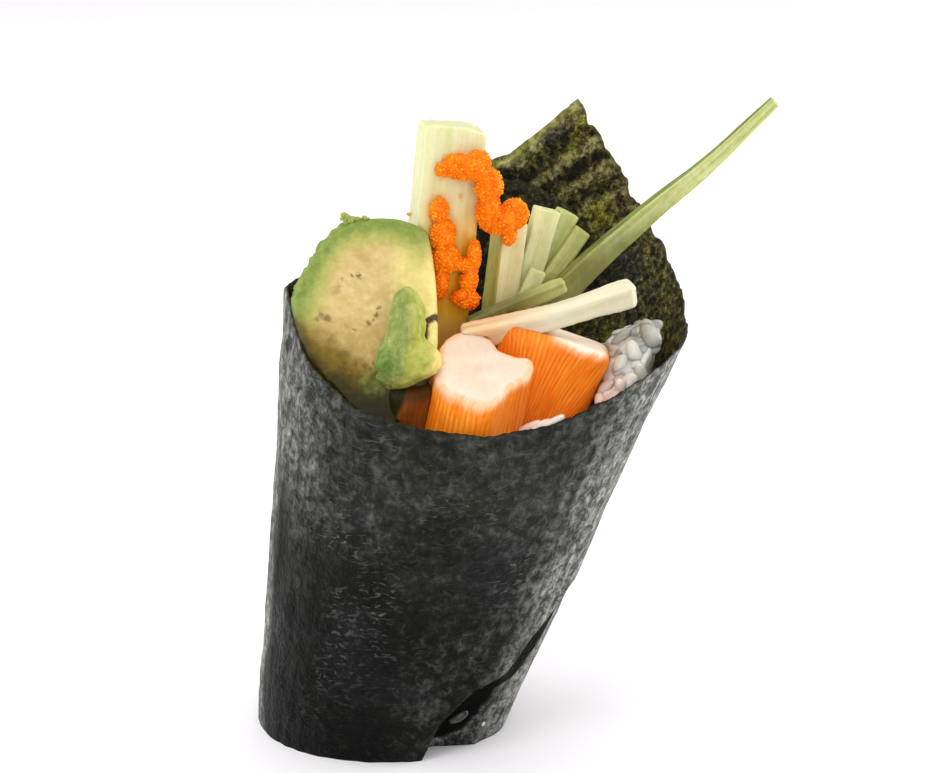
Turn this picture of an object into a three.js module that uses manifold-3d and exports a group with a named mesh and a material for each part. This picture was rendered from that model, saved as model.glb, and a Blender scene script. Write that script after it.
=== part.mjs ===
// Temaki: a hand roll of one sheet of nori wound into a blunt, leaning cone,
// packed with rice and holding avocado, crab sticks, cucumber and fish roe.
// Units are millimetres, +Z is up, the roll stands on its flat lower end.
import * as THREE from 'three';
import { mergeVertices } from 'three/addons/utils/BufferGeometryUtils.js';
import Module from 'manifold-3d';

const wasm = await Module();
wasm.setup();

// ---------------------------------------------------------------- sizes
const BASE_HALF_WIDTH = 21.6;   // half width of the roll where it stands
const FLARE = 0.1675;           // growth of that half width per mm of height
const DEPTH_RATIO = 0.86;       // front-to-back size over left-to-right size
const AXIS_FOOT_X = -0.3;       // where the roll's axis meets the floor
const LEAN = 0.245;             // sideways lean of the axis, mm per mm of height

const SHEET = 0.5;              // thickness of the nori
const INNER_LAYER = -1.0;       // outer face of the first turn, measured from the outermost face
const RICE_CLEARANCE = 0.35;    // between the nori and what fills it
const GAP = 0.3;                // clearance kept between pieces that touch

const WRAP_START = -122;        // wrap angle of the hidden first edge, degrees from +X
const TAIL_TOP = 437.1;         // wrap angle of the upper corner of the last edge
const TAIL_TOP_Z = 101.7;       // height of that corner, the peak of the flap
const TAIL_FOOT = 500;          // wrap angle of the lower corner of the last edge
const TAIL_FOOT_Z = 56;
const TAIL_BREAK = 402;         // from here on the columns fan out to the slanting last edge

const RICE_FILL = 57;           // general height of the rice
const RICE_RIGHT = 71.5;         // height of the rice heap at the right wall

const CRAB_WIDTH = 18.8;        // broad side of the flattened crab stick
const TALL_STICK = { width: 10.6, depth: 5.2, length: 62 };
const PALE_STICK = { width: 4.2, depth: 3.6 };
const THIN_STICK = 4.7;         // side of the largest thin cucumber stick

const DEG = Math.PI / 180;

// ---------------------------------------------------------------- the cone
const axisX = (z) => AXIS_FOOT_X + LEAN * z;
const halfWidth = (z) => BASE_HALF_WIDTH + FLARE * z;
function onCone(deg, z, offset, share = 1) {
  const a = (halfWidth(z) + offset) * share;
  const b = (DEPTH_RATIO * halfWidth(z) + offset) * share;
  return new THREE.Vector3(axisX(z) + a * Math.cos(deg * DEG), b * Math.sin(deg * DEG), z);
}
const smooth = (x, lo, hi) => {
  const t = Math.min(1, Math.max(0, (x - lo) / (hi - lo)));
  return t * t * (3 - 2 * t);
};
const bell = (x, mid, width) => Math.exp(-(((x - mid) / width) ** 2));
// a value read off a line through [where, value] knots
function along(knots, x) {
  if (x <= knots[0][0]) return knots[0][1];
  for (let i = 1; i < knots.length; i++) {
    if (x <= knots[i][0]) {
      const [x0, y0] = knots[i - 1];
      const [x1, y1] = knots[i];
      return y0 + ((y1 - y0) * (x - x0)) / (x1 - x0);
    }
  }
  return knots[knots.length - 1][1];
}

// Upper edge of the sheet against the wrap angle: hidden start, the first
// turn's edge inside the flap, the left rim, the low front rim, the right rim
// and the rise of the flap to its peak.
const UPPER_EDGE = [
  [WRAP_START, 30], [-60, 42], [0, 56], [30, 67], [60, 79], [72, 84.6], [88, 88.2], [98, 88.4],
  [118, 81.2], [140, 78], [158, 76.6], [178, 76.6], [192, 79], [198, 74.9], [213, 69.1],
  [234, 63.9], [256, 61.7], [276, 60.5], [297, 62.4], [317, 66.2], [332, 67.8], [368, 71.1],
  [382, 75], [399, 80.5], [411, 85.8], [424, 93.5], [TAIL_TOP, TAIL_TOP_Z],
];
// Lower edge: on the floor for the first turn, then the seam that climbs
// round the right side.
const LOWER_EDGE = [
  [WRAP_START, 0], [288.6, 0], [291, 7.3], [301.5, 12.5], [313, 14.3], [320, 18.3], [329, 21.6],
  [336, 27], [350, 32], [TAIL_BREAK, 41], [TAIL_FOOT, TAIL_FOOT_Z],
];
// the last turn stands away from the roll near its lower edge at the front
// right, and the first turn is dented there
const firstTurn = (deg) => {
  const d = deg < WRAP_START ? deg + 360 : deg;
  return INNER_LAYER * (1 - smooth(d, 142, 182));
};
// the wall of the hollow that the sheet leaves for its filling
const hollow = (deg) => {
  const d = deg < WRAP_START ? deg + 360 : deg;
  const hidden = Math.max(1 - smooth(d, 142, 182), smooth(d, 212, 234));
  return INNER_LAYER * hidden - SHEET - RICE_CLEARANCE;
};
const lift = (deg, z) => (deg > 280 ? 1.2 * bell(deg, 310, 17) * Math.exp(-Math.max(0, z - along(LOWER_EDGE, deg)) / 7) : 0);
const dent = (deg, z) => {
  const d = deg > 180 ? deg - 360 : deg;
  return 3.0 * bell(d, -62, 15) * (1 - smooth(z, 7, 18));
};

// ---------------------------------------------------------------- solids
function toSolid(geometry) {
  const g = geometry.clone();
  for (const key of Object.keys(g.attributes)) if (key !== 'position') g.deleteAttribute(key);
  const merged = mergeVertices(g, 1e-4);
  const index = merged.index.array;
  const kept = [];
  for (let i = 0; i < index.length; i += 3) {
    const [p, q, r] = [index[i], index[i + 1], index[i + 2]];
    if (p !== q && q !== r && r !== p) kept.push(p, q, r);
  }
  // a mapping that mirrors a shape turns its faces inwards, so they are turned back
  const at = (i) => new THREE.Vector3().fromBufferAttribute(merged.attributes.position, i);
  let volume = 0;
  for (let i = 0; i < kept.length; i += 3) volume += at(kept[i]).dot(at(kept[i + 1]).cross(at(kept[i + 2])));
  if (volume < 0) kept.reverse();
  return new wasm.Manifold(new wasm.Mesh({
    numProp: 3,
    vertProperties: new Float32Array(merged.attributes.position.array),
    triVerts: new Uint32Array(kept),
  }));
}
function toGeometry(solid) {
  const mesh = solid.getMesh();
  const g = new THREE.BufferGeometry();
  g.setAttribute('position', new THREE.BufferAttribute(new Float32Array(mesh.vertProperties), 3));
  g.setIndex(new THREE.BufferAttribute(new Uint32Array(mesh.triVerts), 1));
  g.computeVertexNormals();
  return g;
}
// the largest closed body of a cut piece, without the crumbs a cut can leave
function largest(solid) {
  return solid.decompose().sort((p, q) => q.volume() - p.volume())[0];
}
function map(geometry, fn) {
  const p = geometry.attributes.position;
  const v = new THREE.Vector3();
  for (let i = 0; i < p.count; i++) {
    v.fromBufferAttribute(p, i);
    const w = fn(v.clone());
    p.setXYZ(i, w.x, w.y, w.z);
  }
  return geometry;
}
// a frame whose Z runs up a piece, with the top of the piece at its origin
function frameAt(top, up, turn = 0) {
  const z = new THREE.Vector3(...up).normalize();
  const x = new THREE.Vector3(1, 0, 0).addScaledVector(z, -z.x).normalize();
  const y = new THREE.Vector3().crossVectors(z, x);
  const m = new THREE.Matrix4().makeBasis(x, y, z);
  m.multiply(new THREE.Matrix4().makeRotationZ(turn * DEG));
  m.setPosition(...top);
  return m;
}
function roundedSection(width, depth, radius) {
  const [w, d, r] = [width / 2, depth / 2, Math.min(radius, width / 2.01, depth / 2.01)];
  const s = new THREE.Shape();
  s.moveTo(-w + r, -d);
  s.lineTo(w - r, -d);
  s.absarc(w - r, -d + r, r, -Math.PI / 2, 0, false);
  s.lineTo(w, d - r);
  s.absarc(w - r, d - r, r, 0, Math.PI / 2, false);
  s.lineTo(-w + r, d);
  s.absarc(-w + r, d - r, r, Math.PI / 2, Math.PI, false);
  s.lineTo(-w, -d + r);
  s.absarc(-w + r, -d + r, r, Math.PI, Math.PI * 1.5, false);
  return s;
}
function freeSection(outline, grow) {
  return new THREE.Shape(outline.map(([x, y]) => new THREE.Vector2(x, y).multiplyScalar(1 + grow / Math.hypot(x, y))));
}
// a straight cut stick hanging down from its top end, its section a rounded
// rectangle or a free outline; grow widens it all round
function stick({ top, up, turn = 0, width, depth, outline, length, radius = 0.6, narrow = 1, skew = [0, 0], steps = 1 }, grow = 0) {
  const g = new THREE.ExtrudeGeometry(
    outline ? freeSection(outline, grow) : roundedSection(width + 2 * grow, depth + 2 * grow, radius + grow),
    { depth: length + 2 * grow, bevelEnabled: false, steps, curveSegments: radius > 1 ? 3 : 1 },
  );
  g.translate(0, 0, -length - grow);
  map(g, (v) => {
    const t = Math.min(1, Math.max(0, -v.z / length));
    const s = 1 + (narrow - 1) * t;
    const right = v.x * Math.cos(turn * DEG) - v.y * Math.sin(turn * DEG);
    const back = v.x * Math.sin(turn * DEG) + v.y * Math.cos(turn * DEG);
    const endTilt = (1 - t) * (right * skew[0] + back * skew[1]);
    return v.set(v.x * s, v.y * s, v.z + endTilt);
  });
  return g.applyMatrix4(frameAt(top, up, turn));
}
// a stick along a bowed line, its section shrinking to the far end
function bowedStick({ points, width, depth, tip = 1, turn = 0, steps = 10 }, grow = 0) {
  const curve = new THREE.CatmullRomCurve3(points.map((p) => new THREE.Vector3(...p)));
  const g = new THREE.BoxGeometry(1, 1, 1, 1, 1, steps);
  const side = new THREE.Vector3();
  const face = new THREE.Vector3();
  const length = curve.getLength();
  return map(g, (v) => {
    const t = v.z + 0.5;
    const run = curve.getTangentAt(t);
    side.crossVectors(new THREE.Vector3(0, 1, 0), run).normalize();
    face.crossVectors(run, side).normalize();
    const c = Math.cos(turn * DEG);
    const s = Math.sin(turn * DEG);
    const k = 1 + (tip - 1) * t;
    const x = v.x * (width * k + 2 * grow);
    const y = v.y * (depth * k + 2 * grow);
    const p = curve.getPointAt(t).addScaledVector(side, x * c - y * s).addScaledVector(face, x * s + y * c);
    return p.addScaledVector(run, Math.sign(Math.round(v.z * 2)) * (Math.abs(v.z) > 0.499 ? grow : 0) * (length > 0 ? 1 : 0));
  });
}
// a solid cone with the roll's own shape, closed at both ends
function coneBlock(height, { top = null, levels = [0, 1], around = 44, dented = 0 } = {}) {
  const profile = [new THREE.Vector2(0, 0)];
  for (const level of levels) profile.push(new THREE.Vector2(1, level));
  for (const share of top ? [0.92, 0.78, 0.6, 0.4, 0.2, 0] : [0]) profile.push(new THREE.Vector2(share, 1));
  const g = new THREE.LatheGeometry(profile, around);
  map(g, (v) => {
    const share = Math.min(1, Math.hypot(v.x, v.z));
    const deg = Math.atan2(-v.z, v.x) / DEG;
    const z = v.y * (top ? top(share, deg) : height);
    return onCone(deg, z, hollow(deg) - dented * dent(deg, z), share);
  });
  return g;
}

// ---------------------------------------------------------------- nori
function noriSheet() {
  const angles = [];
  for (let a = WRAP_START; a < 283; a += 7.6) angles.push(a);
  angles.push(285, 288.6, 291, 296, 301.5, 307, 313, 320, 329, 336);
  for (let a = 343; a < TAIL_BREAK - 4; a += 7.4) angles.push(a);
  angles.push(TAIL_BREAK);
  const fan = 7;
  const columns = angles.length - 1 + fan;
  const rows = 8;
  const g = new THREE.BoxGeometry(1, 1, 1, columns, 1, rows);
  return map(g, (v) => {
    const i = Math.round((v.x + 0.5) * columns);
    const t = v.z + 0.5;
    let deg;
    let z;
    if (i < angles.length) {
      deg = angles[i];
      const lo = along(LOWER_EDGE, deg);
      z = lo + (along(UPPER_EDGE, deg) - lo) * t;
    } else {
      const f = (i - angles.length + 1) / fan;
      const topDeg = TAIL_BREAK + (TAIL_TOP - TAIL_BREAK) * f;
      const lowDeg = TAIL_BREAK + (TAIL_FOOT - TAIL_BREAK) * f;
      deg = lowDeg + (topDeg - lowDeg) * t;
      z = along(LOWER_EDGE, lowDeg) + (along(UPPER_EDGE, topDeg) - along(LOWER_EDGE, lowDeg)) * t;
      z += 2.4 * bell(t, 0.7, 0.07) * f ** 3;     // a nick standing out of the last edge
    }
    const layer = deg < 200 ? firstTurn(deg) : 0;
    const off = layer + lift(deg, z) - (deg < 100 ? dent(deg, z) : 0);
    return onCone(deg, z, v.y < 0 ? off : off - SHEET);
  });
}

// ---------------------------------------------------------------- fillings
// pressed out of square by its neighbours
const CRAB_FRONT_SECTION = [
  [-7.4, -1.7], [-7.2, -4.3], [-6.1, -6.1], [-4.1, -7.5], [-2.2, -8.4], [-0.5, -9.3], [1.1, -9.6], [2.6, -8.9],
  [3.9, -6.8], [5.2, -4.3], [6.4, -2.9], [7.8, -1.4], [8.4, 0.2], [8.6, 1.9], [8.2, 3.1], [7.2, 4.0], [5.3, 3.8],
  [2.6, 5.1], [1.3, 7.4], [-1.3, 9.0], [-3.6, 8.9], [-5.0, 8.1], [-6.4, 6.6], [-7.1, 4.6], [-7.2, 1.4],
];
const crabFront = (grow) => stick({
  top: [16.5, -15.4, 68.2], up: [0.2, 0.03, 1], outline: CRAB_FRONT_SECTION, length: 36, skew: [0.1, 0.4],
}, grow);
const crabBack = (grow) => stick({
  top: [29.3, -4.0, 70.5], up: [0.4, 0.03, 1], turn: -2, width: CRAB_WIDTH, depth: 10.4,
  length: 38, radius: 3, narrow: 0.86, skew: [0.05, -0.03],
}, grow);
const crabLeft = (grow) => stick({
  top: [4.9, -17.4, 66.4], up: [0.14, -0.02, 1], turn: 20, width: 7.4, depth: 8.6,
  length: 24, radius: 2.2, skew: [0.1, 0.2],
}, grow);
const cucumberTall = (grow) => stick({
  top: [11.9, 6.4, 103.1], up: [0.103, 0.07, 1], turn: 19, width: TALL_STICK.width,
  depth: TALL_STICK.depth, length: TALL_STICK.length, radius: 0.5, skew: [-0.06, 0.05],
}, grow);

// The avocado slice: a thick half-round cut, its broad face leaning back.
const SLICE = { width: 24.4, above: 17, below: 21, thick: 10.5, lean: 40, at: [-3, -10, 76] };
function avocadoSlice(grow) {
  const { width, above, below, thick, lean, at } = SLICE;
  const left = -width / 2 - grow;
  const right = width / 2 + 0.3 + grow;
  const s = new THREE.Shape();
  s.moveTo(left, 0.2);
  s.bezierCurveTo(left + 2, 6.5, left + 5.6, above + 0.2 + grow, 0.6, above + grow);
  s.bezierCurveTo(4, above + 0.6 + grow, 8.4, above - 0.2 + grow, right - 1.8, above - 2.2 + grow);
  s.bezierCurveTo(right - 0.6, 10, right, 4, right, -4);
  s.bezierCurveTo(right, -10, 9, -below + 2, 3.5, -below - grow);
  s.bezierCurveTo(-3, -below + 3 - grow, left - 0.8, -9, left, 0.2);
  const g = new THREE.ExtrudeGeometry(s, { depth: thick + 2 * grow, bevelEnabled: false, steps: 3, curveSegments: 7 });
  g.translate(0, 0, -thick - grow);
  map(g, (v) => {
    const t = -v.z / thick;                       // 0 on the broad face, 1 at the back
    const k = 1 - 0.2 * Math.max(0, t) ** 2;      // the skin side draws in
    const dome = 1.1 * (1 - Math.min(1, (v.x / 13) ** 2 + ((v.y + 1) / 19) ** 2));
    return v.set(v.x * k, v.y * k, v.z + (t < 0.5 ? dome * (1 - 2 * Math.max(0, t)) : 0));
  });
  const [c, sn] = [Math.cos(lean * DEG), Math.sin(lean * DEG)];
  const m = new THREE.Matrix4().makeBasis(
    new THREE.Vector3(1, 0, 0), new THREE.Vector3(0, sn, c), new THREE.Vector3(0, -c, sn),
  );
  m.setPosition(...at);
  return g.applyMatrix4(m);
}
// A soft torn piece of avocado lying on the slice: narrow at the top, its
// foot broad and drawn out to the left.
function avocadoPiece(grow) {
  const g = new THREE.SphereGeometry(1, 14, 10);
  return map(g, (v) => {
    const h = v.y;
    const foot = smooth(-h, -0.1, 0.6);
    const bump = 1 + 0.04 * Math.sin(5 * v.x + 3 * h) + 0.04 * Math.sin(7 * v.z - 4 * h);
    return new THREE.Vector3(
      4.9 - 0.2 * h - 2.2 * smooth(-h, 0.45, 1) + (3.1 + 3.1 * foot + grow) * v.x * bump,
      -15.2 + 3.7 * h - (2.8 + 0.7 * foot + grow) * v.z * bump,
      73.2 + (7.4 + grow) * h - 0.4 * v.x,
    );
  });
}
const PALE_PATH = [[13.4, -5.3, 70.0], [27.8, -6.2, 73.8], [41.6, -1.0, 76.8]];
const paleStick = (grow) => bowedStick({
  points: PALE_PATH,
  width: PALE_STICK.width, depth: PALE_STICK.depth, tip: 1, turn: 14, steps: 4,
}, grow);
const cucumberStrip = (grow) => bowedStick({
  points: [[24.5, 7.4, 66.5], [31.5, 8.8, 75.2], [44.2, 12.0, 86.3], [54.4, 14.2, 94.4], [65.6, 15.6, 105.0]],
  width: 5.2, depth: 3.0, tip: 0.36, turn: 8, steps: 12,
}, grow);
const THIN_STICKS = {
  cucumber_stick_a: { top: [21.3, 9.6, 86.0], up: [0.11, 0.05, 1], turn: 26, width: THIN_STICK, depth: 4.6, length: 44 },
  cucumber_stick_b: { top: [27.6, 12.2, 87.4], up: [0.27, 0.12, 1], turn: 12, width: 4.2, depth: 3.4, length: 42 },
  cucumber_stick_c: { top: [31.2, 14.0, 86.4], up: [0.52, 0.16, 1], turn: 16, width: 3.6, depth: 3.2, length: 30 },
  cucumber_stick_d: { top: [33.6, 12.6, 83.6], up: [0.72, 0.24, 1], turn: 8, width: 3.0, depth: 3.0, length: 26 },
  cucumber_stick_e: { top: [26.1, 6.6, 78.2], up: [0.45, 0.2, 1], turn: 0, width: 2.8, depth: 2.4, length: 24 },
};
const cucumberF = (grow) => bowedStick({
  points: [[14.6, 0.2, 70.6], [22, 2.0, 73.4], [30.4, 4.2, 76.5]],
  width: 2.6, depth: 2.4, tip: 1, turn: 10, steps: 3,
}, grow);

// Roe lies on the face of the tall stick: [across, down, radius] in the
// stick's own face, plus how far each lobe stands off that face.
function roeClump(lobes, grow = 0) {
  const m = frameAt([11.9, 6.4, 103.1], [0.103, 0.07, 1], 0);
  return lobes.map(([across, down, out, rx, rz]) => {
    const g = new THREE.SphereGeometry(1, 9, 6);
    map(g, (v) => {
      const b = 1.04 + 0.08 * Math.sin(6 * v.x + 4 * v.z + across) + 0.07 * Math.sin(7 * v.y + 5 * v.z + down);
      return new THREE.Vector3(
        across + (rx + grow) * v.x * b,
        -out - (1.7 + grow) * v.z * b,
        -down + (rz + grow) * v.y * b,
      );
    });
    return g.applyMatrix4(m);
  });
}
const ROE_UPPER = [
  [2.1, 6.3, 3.3, 3.2, 1.9], [-0.8, 7.0, 3.2, 1.4, 1.1], [4.7, 5.8, 3.6, 1.9, 2.3], [6.8, 9.0, 3.0, 2.0, 2.6],
  [7.1, 13.1, 2.6, 1.7, 3.0], [9.0, 15.1, 1.4, 2.7, 1.9], [11.5, 13.7, 0.4, 2.2, 2.3], [11.0, 17.2, 0.9, 1.1, 1.5],
];
const ROE_LOWER = [
  [-0.9, 13.8, 3.5, 1.4, 1.9], [0.2, 18.0, 3.7, 1.8, 2.8], [1.0, 21.6, 3.7, 2.1, 2.3], [3.4, 22.4, 3.4, 1.7, 0.9],
  [0.6, 25.8, 3.8, 1.1, 2.6], [5.6, 21.3, 2.8, 1.0, 2.8], [5.2, 25.0, 2.9, 1.3, 2.2], [5.0, 28.2, 3.2, 2.1, 1.5],
];

// ---------------------------------------------------------------- rice
function riceTop(share, deg) {
  const p = onCone(deg, 62, hollow(deg), share);
  const wall = 1 - 0.8 * smooth(share, 0.93, 1);          // the heap stands off the sheet
  const right = (RICE_RIGHT - RICE_FILL) * wall * bell(Math.hypot((p.x - 45) / 1.15, (p.y - 2) / 1.1), 0, 12);
  const rim = share ** 4 * (6.8 * bell(deg, -54, 9) + 3.9 * bell(deg, -76, 5) + 2.2 * bell(deg, -26, 16));
  const lumps = 0.7 * Math.sin(p.x * 0.62 + 1) * Math.cos(p.y * 0.71) + 0.4 * Math.sin(p.x * 1.25 - p.y * 1.4);
  return RICE_FILL + right + rim + lumps;
}

// ---------------------------------------------------------------- assembly
const cavity = toSolid(coneBlock(100));
const order = [
  ['avocado_slice', avocadoSlice, 0xcfc67c],
  ['crab_stick_front', crabFront, 0xf09a58],
  ['pale_stick', paleStick, 0xebe3c4, true],
  ['crab_stick_back', crabBack, 0xe9782a],
  ['cucumber_tall', cucumberTall, 0xe9ecb4, true],
  ['cucumber_strip', cucumberStrip, 0xa9bd62, true],
  ['cucumber_stick_f', cucumberF, 0xb4bb6c],
  ...Object.entries(THIN_STICKS).map(([name, spec], i) => [
    name, (grow) => stick(spec, grow), [0xcfcb92, 0xc3cb84, 0xb7c274, 0xadb968, 0xbcc47c][i],
  ]),
  ['avocado_piece', avocadoPiece, 0xa3b56a],
  ['crab_stick_left', crabLeft, 0xa8563a],
];
const finished = [];
let taken = null;                 // everything placed so far, grown by the gap
for (const [name, shape, colour, free] of order) {
  let solid = toSolid(shape(0));
  if (!free) solid = solid.intersect(cavity);
  if (taken) solid = solid.subtract(taken);
  solid = largest(solid);
  finished.push([name, solid, colour, 0.45]);
  const grown = toSolid(shape(GAP));
  taken = taken ? taken.add(grown) : grown;
}
for (const [name, lobes, colour] of [['roe_upper', ROE_UPPER, 0xf97f10], ['roe_lower', ROE_LOWER, 0xee7412]]) {
  let solid = null;
  for (const g of roeClump(lobes)) solid = solid ? solid.add(toSolid(g)) : toSolid(g);
  let grown = null;
  for (const g of roeClump(lobes, GAP)) grown = grown ? grown.add(toSolid(g)) : toSolid(g);
  finished.push([name, largest(solid.subtract(taken)), colour, 0.3]);
  taken = taken.add(grown);
}
const rice = largest(toSolid(coneBlock(0, {
  top: riceTop, levels: [0, 0.09, 0.17, 0.25, 0.33, 1], around: 45, dented: 1.2,
})).subtract(taken));

const group = new THREE.Group();
group.name = 'temaki_hand_roll';
function addNode(name, geometry, color, roughness) {
  const mesh = new THREE.Mesh(geometry, new THREE.MeshStandardMaterial({ color, roughness, metalness: 0 }));
  mesh.name = name;
  group.add(mesh);
}
addNode('nori_sheet', toGeometry(toSolid(noriSheet())), 0x262824, 0.6);
addNode('rice', toGeometry(rice), 0xe9e7dc, 0.5);
for (const [name, solid, colour, roughness] of finished) addNode(name, toGeometry(solid), colour, roughness);

// the origin is the middle of the whole roll's footprint, on the floor
const box = new THREE.Box3().setFromObject(group);
group.position.set(-(box.min.x + box.max.x) / 2, -(box.min.y + box.max.y) / 2, -box.min.z);
group.updateMatrixWorld(true);

export default group;
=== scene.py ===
# Looks of the temaki hand roll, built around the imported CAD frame.
import math

import bpy
import numpy as np
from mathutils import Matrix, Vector
from mathutils.bvhtree import BVHTree


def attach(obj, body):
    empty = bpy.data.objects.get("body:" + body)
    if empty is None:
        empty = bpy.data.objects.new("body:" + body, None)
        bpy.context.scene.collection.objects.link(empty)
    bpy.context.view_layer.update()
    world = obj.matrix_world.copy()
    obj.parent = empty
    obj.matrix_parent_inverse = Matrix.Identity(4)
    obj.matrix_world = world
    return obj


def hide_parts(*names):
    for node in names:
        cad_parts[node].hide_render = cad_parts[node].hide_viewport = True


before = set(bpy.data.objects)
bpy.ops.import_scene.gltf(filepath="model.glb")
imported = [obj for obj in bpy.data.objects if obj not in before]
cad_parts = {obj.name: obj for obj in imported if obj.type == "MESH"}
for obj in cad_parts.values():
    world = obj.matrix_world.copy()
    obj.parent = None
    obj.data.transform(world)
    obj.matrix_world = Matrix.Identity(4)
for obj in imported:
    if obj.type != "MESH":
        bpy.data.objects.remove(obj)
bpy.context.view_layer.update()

MM = 0.001
# from the cone's own frame (its foot at x = -0.3, y = 0) to the row's frame, in mm
SHIFT = np.array([-22.2143, -2.5435, 0.0])

# ------------------------------------------------------------------ numbers
FOOT_X, LEAN, BASE, FLARE, RATIO = -0.3, 0.245, 21.6, 0.1675, 0.86
INNER = -1.0
SHEET = 0.3


def smooth(x, lo, hi):
    t = np.clip((np.asarray(x, float) - lo) / (hi - lo), 0, 1)
    return t * t * (3 - 2 * t)


def bell(x, mid, width):
    return np.exp(-(((np.asarray(x, float) - mid) / width) ** 2))


def axis_x(z):
    return FOOT_X + LEAN * z


def half_w(z):
    return BASE + FLARE * z


def on_cone(deg, z, off, share=1.0):
    deg, z, off = np.broadcast_arrays(np.asarray(deg, float), np.asarray(z, float), np.asarray(off, float))
    t = np.radians(deg)
    a = (half_w(z) + off) * share
    b = (RATIO * half_w(z) + off) * share
    return np.stack([axis_x(z) + a * np.cos(t), b * np.sin(t), z], -1)


def hollow(deg):
    d = (np.asarray(deg, float) + 122) % 360 - 122
    hidden = np.maximum(1 - smooth(d, 142, 182), smooth(d, 212, 234))
    return INNER * hidden - 0.75


def squeeze_in(P, extra=0.0):
    """Moves points that lie outside the nori's hollow back onto its wall."""
    z = P[..., 2]
    dx, dy = P[..., 0] - axis_x(z), P[..., 1]
    deg = np.degrees(np.arctan2(dy / RATIO, dx))
    h = hollow(deg) - extra
    a, b = half_w(z) + h, RATIO * half_w(z) + h
    rho = np.sqrt((dx / a) ** 2 + (dy / b) ** 2)
    k = np.where(rho > 1, 1 / np.maximum(rho, 1e-9), 1.0)
    Q = P.copy()
    Q[..., 0] = axis_x(z) + dx * k
    Q[..., 1] = dy * k
    return Q


# ------------------------------------------------------------------ noise
def _hash(ix, iy, iz, seed):
    n = (ix.astype(np.int64) * 374761393 + iy.astype(np.int64) * 668265263
         + iz.astype(np.int64) * 1103515245 + seed * 1274126177) & 0xFFFFFFFF
    n = ((n ^ (n >> 13)) * 1274126177) & 0xFFFFFFFF
    n = ((n ^ (n >> 15)) * 2246822519) & 0xFFFFFFFF
    return ((n ^ (n >> 16)) & 0xFFFFFF) / float(0xFFFFFF)


def noise(P, size, seed=0):
    """Smooth value noise in -1..1 at points P (mm) with lumps about `size` mm (a number or one per axis)."""
    Q = np.asarray(P, float) / np.asarray(size, float)
    I = np.floor(Q)
    f = Q - I
    u = f * f * f * (f * (f * 6 - 15) + 10)
    I = I.astype(np.int64)
    out = 0
    for dx in (0, 1):
        for dy in (0, 1):
            for dz in (0, 1):
                w = (np.where(dx, u[..., 0], 1 - u[..., 0]) * np.where(dy, u[..., 1], 1 - u[..., 1])
                     * np.where(dz, u[..., 2], 1 - u[..., 2]))
                out = out + w * _hash(I[..., 0] + dx, I[..., 1] + dy, I[..., 2] + dz, seed)
    return out * 2 - 1


def fbm(P, size, seed=0, octaves=3, gain=0.5):
    out, amp, total = 0, 1.0, 0.0
    s = np.asarray(size, float)
    for k in range(octaves):
        out = out + amp * noise(np.asarray(P) + 17.3 * k, s, seed + 11 * k)
        total += amp
        amp *= gain
        s = s / 2.03
    return out / total


def line(x):
    """points on a line for 1-D noise"""
    x = np.asarray(x, float)
    return np.stack([x, x * 0 + 0.37, x * 0 + 0.61], -1)


# ------------------------------------------------------------------ meshes
def build(name, V, F, mat, nodes=(), attrs=None, uv=None, smooth_shade=True, closed=True):
    """A mesh object from points in the cone's frame (mm) and faces (array of quads or list of faces)."""
    V = (np.asarray(V, float) + SHIFT) * MM
    if isinstance(F, np.ndarray):
        n = F.shape[1]
        loops = F.astype(np.int32).ravel()
        starts = np.arange(0, len(loops), n, dtype=np.int32)
        totals = np.full(len(F), n, np.int32)
    else:
        loops = np.array([i for f in F for i in f], np.int32)
        totals = np.array([len(f) for f in F], np.int32)
        starts = np.concatenate([[0], np.cumsum(totals)[:-1]]).astype(np.int32)
    me = bpy.data.meshes.new(name)
    me.vertices.add(len(V))
    me.vertices.foreach_set("co", V.astype(np.float32).ravel())
    me.loops.add(len(loops))
    me.loops.foreach_set("vertex_index", loops)
    me.polygons.add(len(starts))
    me.polygons.foreach_set("loop_start", starts)
    me.polygons.foreach_set("loop_total", totals)
    me.update(calc_edges=True)
    for key, val in (attrs or {}).items():
        a = me.attributes.new(key, "FLOAT", "POINT")
        a.data.foreach_set("value", np.ascontiguousarray(val, np.float32).ravel())
    if uv is not None:
        a = me.attributes.new("place", "FLOAT_VECTOR", "POINT")
        a.data.foreach_set("vector", np.ascontiguousarray(uv, np.float32).ravel())
    me.validate()
    me.polygons.foreach_set("use_smooth", np.full(len(me.polygons), smooth_shade))
    me.update()
    if closed:
        import bmesh
        bm = bmesh.new()
        bm.from_mesh(me)
        if bm.calc_volume(signed=True) < 0:
            bmesh.ops.reverse_faces(bm, faces=bm.faces)
            bm.to_mesh(me)
        bm.free()
    ob = bpy.data.objects.new(name, me)
    bpy.context.scene.collection.objects.link(ob)
    me.materials.append(mat)
    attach(ob, "root")
    if nodes:
        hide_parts(*nodes)
    return ob


def grid_quads(rows, cols, wrap_cols=False, base=0):
    r, c = np.meshgrid(np.arange(rows - 1), np.arange(cols if wrap_cols else cols - 1), indexing="ij")
    r, c = r.ravel(), c.ravel()
    c2 = (c + 1) % cols
    return base + np.stack([r * cols + c, r * cols + c2, (r + 1) * cols + c2, (r + 1) * cols + c], -1)


def tube(rings, cap_start=True, cap_end=True):
    """Closed surface from rings (R, N, 3): quads between rings, fans at the ends."""
    R, N = rings.shape[:2]
    V = rings.reshape(-1, 3)
    F = [tuple(q) for q in grid_quads(R, N, True)]
    if cap_start:
        V = np.vstack([V, rings[0].mean(0)])
        k = len(V) - 1
        F += [(k, (i + 1) % N, i) for i in range(N)]
    if cap_end:
        V = np.vstack([V, rings[-1].mean(0)])
        k = len(V) - 1
        b = (R - 1) * N
        F += [(k, b + i, b + (i + 1) % N) for i in range(N)]
    return V, F


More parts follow.
